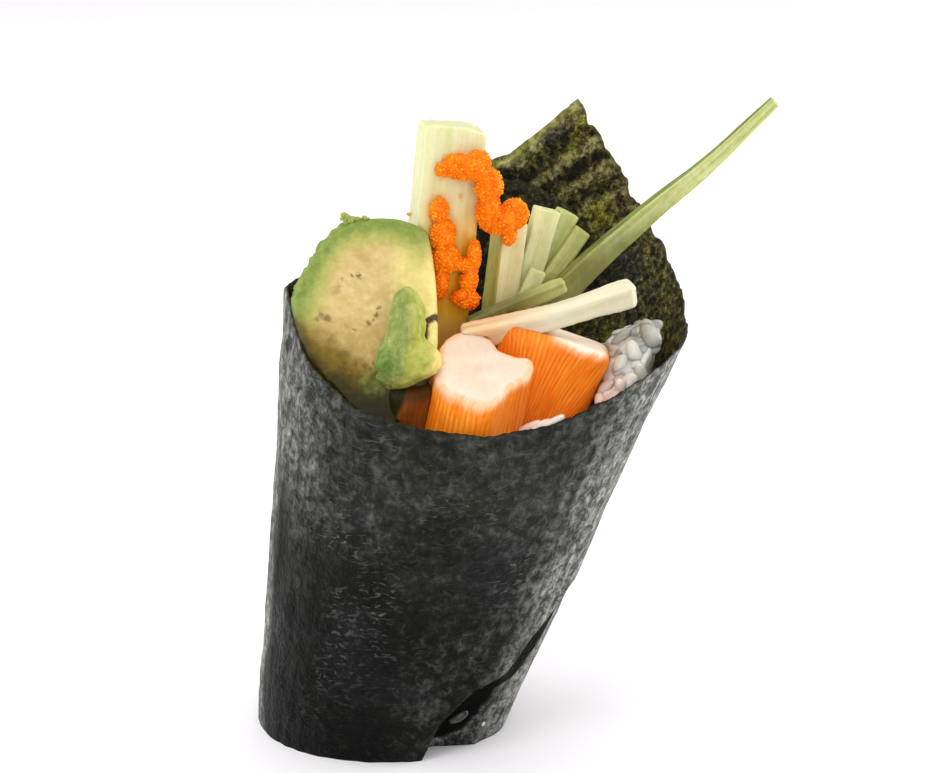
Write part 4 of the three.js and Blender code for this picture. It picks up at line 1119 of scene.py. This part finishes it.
def avocado_slice():
    left, right, above, below, thick = -12.2, 12.5, 17.0, 21.0, 10.5
    outline = np.vstack([
        bezier((left, .2), (left + 2, 6.5), (left + 5.6, above + .2), (.6, above)),
        bezier((.6, above), (4, above + .6), (8.4, above - .2), (right - 1.8, above - 2.2)),
        bezier((right - 1.8, above - 2.2), (right - .6, 10), (right, 4), (right, -4)),
        bezier((right, -4), (right, -10), (9, -below + 2), (3.5, -below)),
        bezier((3.5, -below), (-3, -below + 3), (left - .8, -9), (left, .2))])
    O = np.vstack([outline, outline[:1]])
    s = np.concatenate([[0], np.cumsum(np.hypot(*np.diff(O, axis=0).T))])
    n = 260
    u = np.linspace(0, s[-1], n, endpoint=False)
    O = np.stack([np.interp(u, s, O[:, 0]), np.interp(u, s, O[:, 1])], -1)
    for _ in range(2):                            # the corners of the cut are soft
        O = (np.roll(O, 1, 0) + O * 2 + np.roll(O, -1, 0)) / 4
    c = np.array([0.6, -1.5])
    R = np.linalg.norm(O - c, axis=1)
    U = (O - c) / R[:, None]
    b = 1.5
    prof = []                                    # (share of what is inside the rounding, inset, depth)
    prof += [(k, b, 0.0) for k in np.linspace(0.02, 1, 40) ** 0.85]
    prof += [(1, b * (1 - math.sin(a)), b * (1 - math.cos(a))) for a in np.radians([15, 30, 45, 60, 75, 90])]
    prof += [(1, 0, b + (thick - 2 * b) * k) for k in np.linspace(0, 1, 16)[1:]]
    prof += [(1, b * (1 - math.cos(a)), thick - b * (1 - math.sin(a))) for a in np.radians([15, 30, 45, 60, 75, 90])]
    prof += [(k, b, thick) for k in np.linspace(1, 0.03, 14)[1:]]
    rings, place, rim, green = [], [], [], []
    theta = np.degrees(np.arctan2(U[:, 1], U[:, 0]))
    turned = (theta + 60) % 360 - 60
    for k, inset, deep in prof:
        r = (R - inset) * k
        xy = c + U * r[:, None]
        t = deep / thick
        shrink = 1 - 0.2 * t ** 2
        dome = 1.1 * (1 - np.minimum(1, (xy[:, 0] / 13) ** 2 + ((xy[:, 1] + 1) / 19) ** 2)) * (1 - 2 * t if t < .5 else 0)
        z = -deep + dome
        q = np.stack([xy[:, 0] * shrink, xy[:, 1] * shrink, z], -1)
        rings.append(q)
        place.append(np.stack([xy[:, 0], xy[:, 1], z], -1))
        rim.append(np.where(deep > 0.01, -0.5 * deep, R - inset - r + 0.6))
        green.append(smooth(turned, 40, 66) * (1 - smooth(turned, 172, 204)))
    q, place, rim, green = np.array(rings), np.array(place), np.array(rim), np.array(green)
    theta_g = np.broadcast_to(theta, rim.shape)
    # soft relief: dents on the face, a slightly torn rim at the upper left, pits where the specks are
    w = 0.20 * noise(place, 5.0, 171) + 0.10 * noise(place, 1.9, 172) + 0.05 * noise(place, 0.8, 173)
    for sx, sy, r, _ in SPOTS:
        w = w - 0.18 * np.exp(-((place[..., 0] - sx) ** 2 + (place[..., 1] - sy) ** 2) / (r * 0.9) ** 2) * (place[..., 2] > -1)
    torn = smooth(theta_g, 88, 100) * (1 - smooth(theta_g, 150, 170)) * smooth(rim, 2.4, 0.4) * (place[..., 2] > -3)
    w = w + torn * 0.45 * noise(place, 1.1, 174)
    q[..., 2] += w * (place[..., 2] > -thick * 0.6)
    grow = torn * (0.40 * noise(place, 1.5, 175) + 0.30 * noise(place, 0.6, 176) + 0.15)
    q[..., 0] += U[None, :, 0] * grow
    q[..., 1] += U[None, :, 1] * grow
    P = SLICE_AT + q[..., :1] * SLICE_X + q[..., 1:2] * SLICE_Y + q[..., 2:3] * SLICE_Z
    grown("avocado_slice", avocado_material("avocado_flesh"), P, place,
          {"rim": rim, "green": green}, ("avocado_slice",), 0.5)


avocado_slice()


def lump_grid(n, rows):
    h = -np.cos(np.linspace(0, np.pi, rows + 2)[1:-1])
    a = np.linspace(0, 2 * np.pi, n, endpoint=False)
    r = np.sqrt(1 - h ** 2)
    return np.stack([r[:, None] * np.cos(a), np.broadcast_to(h[:, None], (rows, n)), r[:, None] * np.sin(a)], -1)


TORN = avocado_material("avocado_torn", True)


def avocado_piece():
    G = lump_grid(150, 84)
    x, h, z = G[..., 0], G[..., 1], G[..., 2]
    foot = smooth(-h, -0.1, 0.6)
    b = 1 + 0.12 * noise(G, 0.55, 181) + 0.14 * noise(G, 0.26, 182) + 0.08 * noise(G, 0.11, 183)
    # an upright fold down the middle, a hollow to its left, a lip along the right
    front = smooth(-z, -0.1, 0.5) * 0 + smooth(z, -0.1, 0.5)
    fold = -0.09 * bell(x + 0.25 - 0.15 * h + 0.2 * noise(G, 0.5, 186), 0, 0.16) + 0.05 * bell(x - 0.1, 0, 0.2)
    b = b + fold * front * smooth(h, -0.95, -0.6)
    b = b + 0.10 * bell(h, -0.35, 0.12) * bell(x, 0.75, 0.25) * front
    b = b - 0.17 * bell(h, 0.10, 0.24) * smooth(x, 0.25, 0.9)
    P = np.stack([
        4.9 - 0.2 * h - 2.2 * smooth(-h, 0.45, 1) + (3.1 + 3.1 * foot) * x * b,
        -15.2 + 3.7 * h - (2.8 + 0.7 * foot) * z * b,
        73.2 + 7.4 * h * (1 + 0.04 * noise(G, 0.4, 184)) - 0.4 * x], -1)
    place = np.stack([(3.1 + 3.1 * foot) * x, 7.4 * h, z], -1)
    grown("avocado_piece", TORN, P, place, {}, ("avocado_piece",), 0.42)


avocado_piece()


# ------------------------------------------------------------------ small bodies
def icosphere(times):
    t = (1 + 5 ** 0.5) / 2
    V = [(-1, t, 0), (1, t, 0), (-1, -t, 0), (1, -t, 0), (0, -1, t), (0, 1, t), (0, -1, -t), (0, 1, -t),
         (t, 0, -1), (t, 0, 1), (-t, 0, -1), (-t, 0, 1)]
    V = [tuple(np.array(v) / np.linalg.norm(v)) for v in V]
    F = [(0, 11, 5), (0, 5, 1), (0, 1, 7), (0, 7, 10), (0, 10, 11), (1, 5, 9), (5, 11, 4), (11, 10, 2), (10, 7, 6),
         (7, 1, 8), (3, 9, 4), (3, 4, 2), (3, 2, 6), (3, 6, 8), (3, 8, 9), (4, 9, 5), (2, 4, 11), (6, 2, 10),
         (8, 6, 7), (9, 8, 1)]
    for _ in range(times):
        mid, G = {}, []

        def m(a, b):
            k = (min(a, b), max(a, b))
            if k not in mid:
                v = np.array(V[a]) + np.array(V[b])
                V.append(tuple(v / np.linalg.norm(v)))
                mid[k] = len(V) - 1
            return mid[k]
        for a, b, c in F:
            ab, bc, ca = m(a, b), m(b, c), m(c, a)
            G += [(a, ab, ca), (b, bc, ab), (c, ca, bc), (ab, bc, ca)]
        F = G
    return np.array(V), np.array(F)


def grain_shape(n=10, rows=7):
    """A rice grain along X, one unit long each way: a plump body, blunt at one end."""
    t = np.linspace(0, np.pi, rows + 2)[1:-1]
    x = -np.cos(t)
    r = np.sin(t) ** 0.72 * (1 + 0.10 * x)
    a = np.linspace(0, 2 * np.pi, n, endpoint=False)
    V = np.stack([np.broadcast_to(x[:, None], (rows, n)), r[:, None] * np.cos(a), r[:, None] * np.sin(a)], -1).reshape(-1, 3)
    V = np.vstack([V, (-1, 0, 0), (1, 0, 0)])
    F = []
    for i in range(rows - 1):
        for j in range(n):
            k = (j + 1) % n
            a0, b0, c0, d0 = i * n + j, i * n + k, (i + 1) * n + k, (i + 1) * n + j
            F += [(a0, b0, c0), (a0, c0, d0)]
    e = rows * n
    for j in range(n):
        k = (j + 1) % n
        F += [(e, k, j), (e + 1, (rows - 1) * n + j, (rows - 1) * n + k)]
    return V, np.array(F)


def scatter(name, shape, items, mat, nodes=(), bent=0.0):
    """items: (centre, 3x3 rows = half axes, tone). One mesh of all of them."""
    V0, F0 = shape
    V, F, T = [], [], []
    for i, (c, axes, tone) in enumerate(items):
        W = V0.copy()
        if bent:
            k = _hash(np.array(i), np.array(3), np.array(5), 77) * 2 - 1
            W[:, 2] += 0.22 * k * (W[:, 0] ** 2 - 0.4)
            W *= (1 + bent * noise(W + 9.7 * i, 0.9, 78))[:, None]
        W = W @ np.asarray(axes)
        V.append(W + c)
        F.append(F0 + i * len(V0))
        T.append(np.full(len(V0), tone))
    return build(name, np.vstack(V), np.vstack(F), mat, nodes, {"tone": np.concatenate(T)})


def remeshed(name, V, F, voxel, mat, nodes, shape=None, tone=0.0):
    """A closed skin over overlapping solids, then moved point by point."""
    me = bpy.data.meshes.new(name + "_raw")
    me.from_pydata([tuple(p) for p in V], [], [tuple(int(i) for i in f) for f in F])
    ob = bpy.data.objects.new(name + "_raw", me)
    bpy.context.scene.collection.objects.link(ob)
    mod = ob.modifiers.new("skin", "REMESH")
    mod.mode = "VOXEL"
    mod.voxel_size = voxel
    dg = bpy.context.evaluated_depsgraph_get()
    out = bpy.data.meshes.new_from_object(ob.evaluated_get(dg))
    bpy.data.objects.remove(ob)
    bpy.data.meshes.remove(me)
    co = np.empty(len(out.vertices) * 3, np.float32)
    out.vertices.foreach_get("co", co)
    no = np.empty(len(out.vertices) * 3, np.float32)
    out.vertices.foreach_get("normal", no)
    co, no = co.reshape(-1, 3).astype(float), no.reshape(-1, 3).astype(float)
    faces = [tuple(p.vertices) for p in out.polygons]
    bpy.data.meshes.remove(out)
    co = shape(co, no) if shape else co
    return build(name, co, faces, mat, nodes, {"tone": np.full(len(co), tone)})


def mush():
    """Soft crumbs of avocado on the slice's upper left edge."""
    items = []
    for k, (x, y, r) in enumerate(((-2.9, 17.3, .40), (-2.55, 16.9, .46), (-2.1, 16.7, .42), (-1.5, 16.6, .36), (-0.8, 16.5, .38), (-0.2, 16.55, .3),
                                   (0.5, 16.6, .36), (-3.3, 16.6, .34), (-2.6, 16.2, .48), (-3.0, 16.9, .3), (-1.9, 16.3, .45), (0.9, 16.6, .26))):
        p = SLICE_AT + x * SLICE_X + y * SLICE_Y + 0.1 * SLICE_Z - 0.2 * SLICE_Z * (k % 3)
        items.append((p, np.stack([SLICE_X * r * 1.2, SLICE_Y * r, SLICE_Z * r * 0.9]), 0.5))
    scatter("avocado_crumbs", icosphere(3), items, TORN, ("avocado_slice",), 0.5)


mush()


# ------------------------------------------------------------------ roe
def roe_material():
    M = Mat("roe_orange", Roughness=0.34)
    wet(M, 0.05, 0.15, 0.2)
    M.set("IOR", 1.36)
    flesh(M, 0.3, (1.0, 0.55, 0.12), 0.0010)
    tone = M.math("ADD", M.attr("tone"), M.math("MULTIPLY", M.math("SUBTRACT", M.noise(M.coords(), 300, 2, 0.5), 0.5), 0.5))
    M.base(M.ramp(tone, [(0.0, "#ec5c03"), (0.35, "#fb7c06"), (0.7, "#ff940c"), (1.0, "#fdb240")]))
    M.normal(M.bump(M.noise(M.coords(), 2600, 2, 0.5), 0.15, 0.0001))
    return M.m


ROE_MAT = roe_material()


def roe(name, lobes, seed, loose=()):
    o, X, Y, Z = frame_at(TALL["top"], TALL["up"], 0)
    B = np.stack([X, Y, Z])
    rng = np.random.default_rng(seed)
    tree = tree_of([n for n in FILLINGS if not n.startswith("roe")])
    ico, icoF = icosphere(2)
    V, F, base = [], [], 0
    for a, d, out, rx, rz in lobes:
        q = ico * (rx * 1.10, 1.7 * 1.08, rz * 1.10) + (a, -out, -d)
        V.append(o + q @ B)
        F.append(icoF + base)
        base += len(ico)

    def lumpy(co, no):
        co = co + no * (0.14 * noise(co, 0.8, seed))[:, None]
        return keep_out(co, ("roe_upper", "roe_lower"), 0.10)
    remeshed(name + "_core", np.vstack(V), np.vstack(F), 0.30, ROE_MAT, (name,), lumpy, 0.4)
    # eggs over every lobe that faces out of the clump
    pts, items, cells = [], [], {}
    r0 = 0.30

    def near(p, gap):
        c = tuple(np.floor(p / 0.8).astype(int))
        for dx in (-1, 0, 1):
            for dy in (-1, 0, 1):
                for dz in (-1, 0, 1):
                    for k in cells.get((c[0] + dx, c[1] + dy, c[2] + dz), ()):
                        if np.sum((pts[k] - p) ** 2) < gap * gap:
                            return True
        return False

    def add(p, r, tone):
        cells.setdefault(tuple(np.floor(p / 0.8).astype(int)), []).append(len(pts))
        pts.append(p)
        a, b = rng.uniform(0, 2 * np.pi, 2)
        R = np.array([[math.cos(a), math.sin(a), 0], [-math.sin(a), math.cos(a), 0], [0, 0, 1]])
        R = R @ np.array([[1, 0, 0], [0, math.cos(b), math.sin(b)], [0, -math.sin(b), math.cos(b)]])
        items.append((p, R * r * np.array([[1.0], [rng.uniform(0.94, 1.04)], [rng.uniform(0.92, 1.02)]]), tone))
    for lift, gap, tries in ((1.06, 0.47, 1500), (1.09, 0.44, 1100)):
        for a, d, out, rx, rz in lobes:
            dirs = rng.normal(size=(tries, 3))
            dirs /= np.linalg.norm(dirs, axis=1)[:, None]
            edge = 1.0 + 0.10 * noise(dirs * 3 + a, 1.0, seed + 3)
            Q = dirs * np.stack([rx * edge, 1.7 * edge, rz * edge], -1) * lift + (a, -out, -d)
            for q in Q:
                inside = False
                for a2, d2, o2, x2, z2 in lobes:
                    if (a2, d2) == (a, d):
                        continue
                    e = (q - (a2, -o2, -d2)) / (x2, 1.7, z2)
                    if e @ e < 0.88:
                        inside = True
                        break
                if inside:
                    continue
                p = o + q @ B
                if near(p, gap):
                    continue
                dist, loc, nrm = distance(tree, Vector(p))
                if dist < 0.25:
                    if dist < -0.9:
                        continue
                    p = np.array(loc + nrm * 0.30)
                    if near(p, gap):
                        continue
                # painted shade: eggs on the lowest lobes and round the upper clump's lower right get a lower tone, a
                # deeper orange
                add(p, r0 * rng.uniform(0.86, 1.08), rng.uniform(0.2, 0.8) - 0.3 * smooth(d, 20, 30) - 0.25 * bell(np.hypot(a - 7.1, d - 14.5), 0, 2.0))
    for p in loose:
        add(np.array(p, float), r0 * 1.15, 1.0)
    scatter(name + "_eggs", icosphere(1), items, ROE_MAT, (name,))
    return len(items)


def on_piece(name, px, py, off=0.3):
    """The place on a CAD node that pixel px, py of the photograph's frame sees."""
    E, Dst, Fl = math.radians(18.0), 450.0, 2700.0
    back = np.array([0, -math.cos(E), math.sin(E)])
    upv = np.array([0, math.sin(E), math.cos(E)])
    C = np.array([13.92, 0, 60.0]) + back * Dst
    d = np.array([1.0, 0, 0]) * (px - 465.5) / Fl + upv * (386.5 - py) / Fl - back
    d /= np.linalg.norm(d)
    hit = tree_of([name]).ray_cast(Vector(C), Vector(d))
    if hit[0] is None:
        return None
    return np.array(hit[0]) + np.array(hit[1]) * off


loose_up = [p for p in (on_piece("cucumber_tall", 460, 196),) if p is not None]
loose_low = [p for p in (on_piece("cucumber_tall", 410, 214),) if p is not None]
EGGS = roe("roe_upper", ROE_UPPER, 201, loose_up) + roe("roe_lower", ROE_LOWER, 211, loose_low)


# ------------------------------------------------------------------ rice
def rice_material(name):
    M = Mat(name, Roughness=0.34)
    wet(M, 0.25, 0.2)
    flesh(M, 0.75, (1.0, 0.95, 0.8), 0.0040)
    tone = M.math("ADD", M.attr("tone"), M.math("MULTIPLY", M.math("SUBTRACT", M.noise(M.coords(), 300, 3, 0.6), 0.5), 0.5))
    warm = M.step(tone, 1.4, 1.6)
    tone = M.math("SUBTRACT", tone, M.math("MULTIPLY", warm, 2.0))
    col = M.ramp(tone, [(0.0, "#161713"), (0.10, "#6a6b62"), (0.25, "#a3a399"), (0.45, "#b8b7a9"), (0.7, "#cecbbb"), (1.0, "#f3ecdb")])
    M.base(M.mix(M.math("MULTIPLY", warm, 0.55), col, "#d9a890"))
    M.normal(M.bump(M.noise(M.coords(), 900, 3, 0.55), 0.25, 0.0003))
    return M.m


def seen(p):
    """Where a place lies in the photograph's frame, in its pixels."""
    E = math.radians(18.0)
    q = np.asarray(p, float) - (13.92, 0, 60.0)
    far = 450.0 + q[..., 1] * math.cos(E) - q[..., 2] * math.sin(E)
    return 465.5 + 2700 * q[..., 0] / far, 386.5 - 2700 * (q[..., 1] * math.sin(E) + q[..., 2] * math.cos(E)) / far


def front_rim(p):
    """1 where the crab sticks reach the nori's front edge and no rice shows."""
    x, y = seen(p)
    return float(smooth(x, 470, 482) * (1 - smooth(x, 594, 606)) * smooth(y, 388, 396) * (1 - smooth(y, 446, 452)) * (p[2] > 40))


def rice():
    mat = rice_material("rice_cooked")
    V, F = node_mesh("rice")

    def shape(co, no):
        sink = np.array([front_rim(p) for p in co])
        sx, sy = seen(co)
        co = co - no * (2.4 * smooth(sx, 655, 662) * (1 - smooth(sy, 330, 342)) * (co[:, 2] > 46))[:, None]
        co = co + no * (0.02 - 0.57 * sink)[:, None]
        co[:, 2] -= 1.8 * sink
        co = co + no * (0.30 * noise(co, 2.5, 221) + 0.20 * noise(co, 1.1, 222))[:, None]
        co[:, 2] = np.maximum(co[:, 2], 0.45)
        return squeeze_in(co, 0.25)
    remeshed("rice_core", V, F, 0.6, mat, ("rice",), shape, 0.95)
    rng = np.random.default_rng(231)
    fillings = tree_of(FILLINGS)
    grains, items, cells = [], [], {}

    def free(c, ax, half, r, slack=0.0):
        for k in (-0.9, -0.5, 0, 0.5, 0.9):
            p = c + ax * half * k
            rr = r * (1 - 0.45 * abs(k) ** 3)
            d, _, _ = distance(fillings, Vector(p))
            if d < rr * (0.92 - slack):
                return False
            q = squeeze_in(p[None], rr * 0.95)[0]
            if np.sum((q - p) ** 2) > 0.02:
                return False
        return True

    def crowded(c, gap):
        k = tuple(np.floor(c / 3).astype(int))
        for dx in (-1, 0, 1):
            for dy in (-1, 0, 1):
                for dz in (-1, 0, 1):
                    for i in cells.get((k[0] + dx, k[1] + dy, k[2] + dz), ()):
                        if np.sum((grains[i] - c) ** 2) < gap * gap:
                            return True
        return False

    def add(c, ax, nrm, half, r, tone):
        ax = ax / np.linalg.norm(ax)
        b = np.cross(nrm, ax)
        b = b / np.linalg.norm(b)
        n = np.cross(ax, b)
        cells.setdefault(tuple(np.floor(c / 3).astype(int)), []).append(len(grains))
        grains.append(c)
        items.append((c, np.stack([ax * half, b * r * 1.06, n * r * 0.94]), tone))

    # the grains that the photograph shows one by one: pixel, direction on the picture (degrees), half length, half
    # width, lift and tone; the low tones are painted shade on grains that lie in shadow
    tree = tree_of(["rice"])
    E = math.radians(18.0)
    right, upv = np.array([1.0, 0, 0]), np.array([0, math.sin(E), math.cos(E)])
    back = np.array([0, -math.cos(E), math.sin(E)])
    for px, py, deg, half, r, off, tone in HAND_GRAINS:
        p = on_piece("rice", px, py, 0.0)
        if p is None:
            continue
        _, nrm = tree.find_nearest(Vector(p))[:2]
        nrm = np.array(nrm)
        ax = right * math.cos(math.radians(deg)) + upv * math.sin(math.radians(deg))
        ax = ax - nrm * (ax @ nrm) * 0.8
        p = p + nrm * (off - 0.40)
        add(p, ax, nrm, half, r, tone)
    # the rest, laid over the heap
    Vn = np.array(V)
    T = np.array([f[:3] for f in F if len(f) == 3] + [t for f in F if len(f) == 4 for t in ((f[0], f[1], f[2]), (f[0], f[2], f[3]))])
    a, b, c = Vn[T[:, 0]], Vn[T[:, 1]], Vn[T[:, 2]]
    cr = np.cross(b - a, c - a)
    area = np.linalg.norm(cr, axis=1) / 2
    nz = cr[:, 2] / np.maximum(2 * area, 1e-9)
    top = (nz > 0.12) & ((a[:, 2] + b[:, 2] + c[:, 2]) / 3 > 46)
    for mask, count, gap, sink in ((top, 6500, 1.95, 0.62), (nz < -0.9, 1600, 2.6, 1.0)):
        idx = np.flatnonzero(mask)
        w = area[idx] / area[idx].sum()
        pick = idx[np.searchsorted(np.cumsum(w), rng.uniform(size=count))]
        u, v = rng.uniform(size=(2, count))
        flip = u + v > 1
        u[flip], v[flip] = 1 - u[flip], 1 - v[flip]
        Ppts = a[pick] + (b[pick] - a[pick]) * u[:, None] + (c[pick] - a[pick]) * v[:, None]
        Nn = cr[pick] / (2 * area[pick])[:, None]
        for p, nrm in zip(Ppts, Nn):
            half, r = rng.uniform(2.4, 3.0), rng.uniform(1.0, 1.25)
            under = nrm[2] < -0.9
            if under and np.hypot((p[0] - axis_x(0)) / half_w(0), p[1] / (RATIO * half_w(0))) > 0.80:
                continue
            if under and p[1] < -4 and p[0] > 2:          # none in the open seam
                continue
            ctr = p - nrm * (r * 1.0 + 0.05 if under else sink)
            if crowded(ctr, gap) or (not under and front_rim(ctr) > 0.4):
                continue
            for _ in range(7):
                ax = rng.normal(size=3)
                ax = ax - nrm * (ax @ nrm) * (1.0 if under else rng.uniform(0.75, 1.0))
                ax /= np.linalg.norm(ax)
                if free(ctr, ax, half, r, 0.15):
                    px, py = seen(ctr)
                    if not under and px > 656 and py < 332:
                        break
                    beside = not under and 592 < px < (627 if py > 362 else 621) and py > 344
                    grey = not under and px > 634 and py < 352
                    add(ctr, ax, nrm, half, r, rng.uniform(0.26, 0.42) if grey else rng.uniform(0.8, 1.15) + (2.0 if beside else 0.0))
                    break
    # the grain lying in the open seam, with a low tone as painted shade, and a crumb beside it
    for c, deg, half, r, tone in (((12.7, -17.1, 7.7), 30, 1.75, 0.80, -0.60), ((16.9, -14.2, 5.0), 60, 0.40, 0.20, 0.5)):
        ax = right * math.cos(math.radians(deg)) + upv * math.sin(math.radians(deg))
        add(np.array(c), ax, back, half, r, tone)
    scatter("rice_grains", grain_shape(12, 9), items, mat, ("rice",), 0.10)
    return len(items)


HAND_GRAINS = [
    (643, 322, -62, 2.5, 1.6, 1.3, .34), (652, 338, -66, 2.5, 1.5, .9, .28), (645, 316, -30, 2.0, 1.4, 1.2, .32),
    (649, 333, -64, 2.5, 1.4, .7, .34), (655, 366, 16, 1.8, 1.0, .3, .6), (634, 352, -70, 2.3, 1.2, .5, .85),
    (641, 376, -58, 2.3, 1.15, .4, .7), (630, 386, 62, 2.0, 1.1, .4, .75), (622, 338, 34, 2.2, 1.1, .3, .35),
    (610, 337, -22, 2.0, 1.0, .3, .12), (597, 334, 5, 1.8, .9, .3, .08), (620, 366, 80, 2.2, 1.1, .3, .7),
    (611, 400, 35, 2.0, 1.1, .4, 2.5), (606, 388, 62, 1.9, 1.0, .3, 2.4), (529, 429, 8, 2.4, .7, .65, .9),
    (552, 424, 16, 2.3, .7, .65, .95), (541, 427, 12, 2.0, .65, .6, .9), (488, 432, -2, 1.6, .6, .9, .9),
]
GRAINS = rice()
print("grains", GRAINS, "eggs", EGGS)

# ------------------------------------------------------------------ stage
def camera():
    E, D, F = math.radians(18.0), 450.0, 2700.0
    T = Vector((13.92 + SHIFT[0], SHIFT[1], 60.0)) * MM
    back = Vector((0, -math.cos(E), math.sin(E)))
    cam = bpy.data.cameras.new("camera")
    cam.sensor_width = 36.0
    cam.lens = 36.0 * F / 931.0
    cam.clip_start, cam.clip_end = 0.01, 50
    ob = bpy.data.objects.new("camera", cam)
    bpy.context.scene.collection.objects.link(ob)
    ob.location = T + back * D * MM
    ob.rotation_euler = (math.radians(90 - 18.0), 0, 0)
    bpy.context.scene.camera = ob


def area(name, loc, target, size, power, color=(1, 1, 1), size_y=None):
    L = bpy.data.lights.new(name, "AREA")
    L.shape = "RECTANGLE"
    L.size, L.size_y = size, size_y or size
    L.energy = power
    L.color = color
    ob = bpy.data.objects.new(name, L)
    bpy.context.scene.collection.objects.link(ob)
    ob.location = loc
    ob.rotation_euler = (Vector(target) - Vector(loc)).to_track_quat("-Z", "Y").to_euler()
    return ob


def stage():
    me = bpy.data.meshes.new("floor")
    r = 4.0
    me.from_pydata([(-r, -r, 0), (r, -r, 0), (r, r, 0), (-r, r, 0)], [], [(0, 1, 2, 3)])
    ob = bpy.data.objects.new("floor", me)
    bpy.context.scene.collection.objects.link(ob)
    M = Mat("floor_white", Roughness=0.55)
    P = M.coords()
    M.base(M.ramp(M.noise(P, 6, 2, 0.5), [(0.3, "#fbf9fb"), (0.7, "#fdfbfd")]))
    me.materials.append(M.m)
    w = bpy.data.worlds.new("studio")
    w.use_nodes = True
    bg = w.node_tree.nodes["Background"]
    bg.inputs["Color"].default_value = (1.0, 0.985, 1.0, 1)
    bg.inputs["Strength"].default_value = 0.40
    bpy.context.scene.world = w
    area("top", (0, 0.30, 1.3), (0, 0.30, 0), 2.1, 16.0)
    area("key", (-0.30, -0.45, 0.70), (0, 0, 0.07), 0.35, 1.5)
    area("front", (0.14, -0.80, 0.34), (0, 0, 0.07), 0.6, 2.6)
    area("left", (-0.75, 0.20, 0.28), (0, 0, 0.05), 0.45, 2.7)
    area("right", (0.75, 0.25, 0.30), (0, 0, 0.05), 0.45, 4.2)
    bpy.context.scene.view_settings.view_transform = "Standard"
    bpy.context.scene.view_settings.look = "None"


camera()
stage()
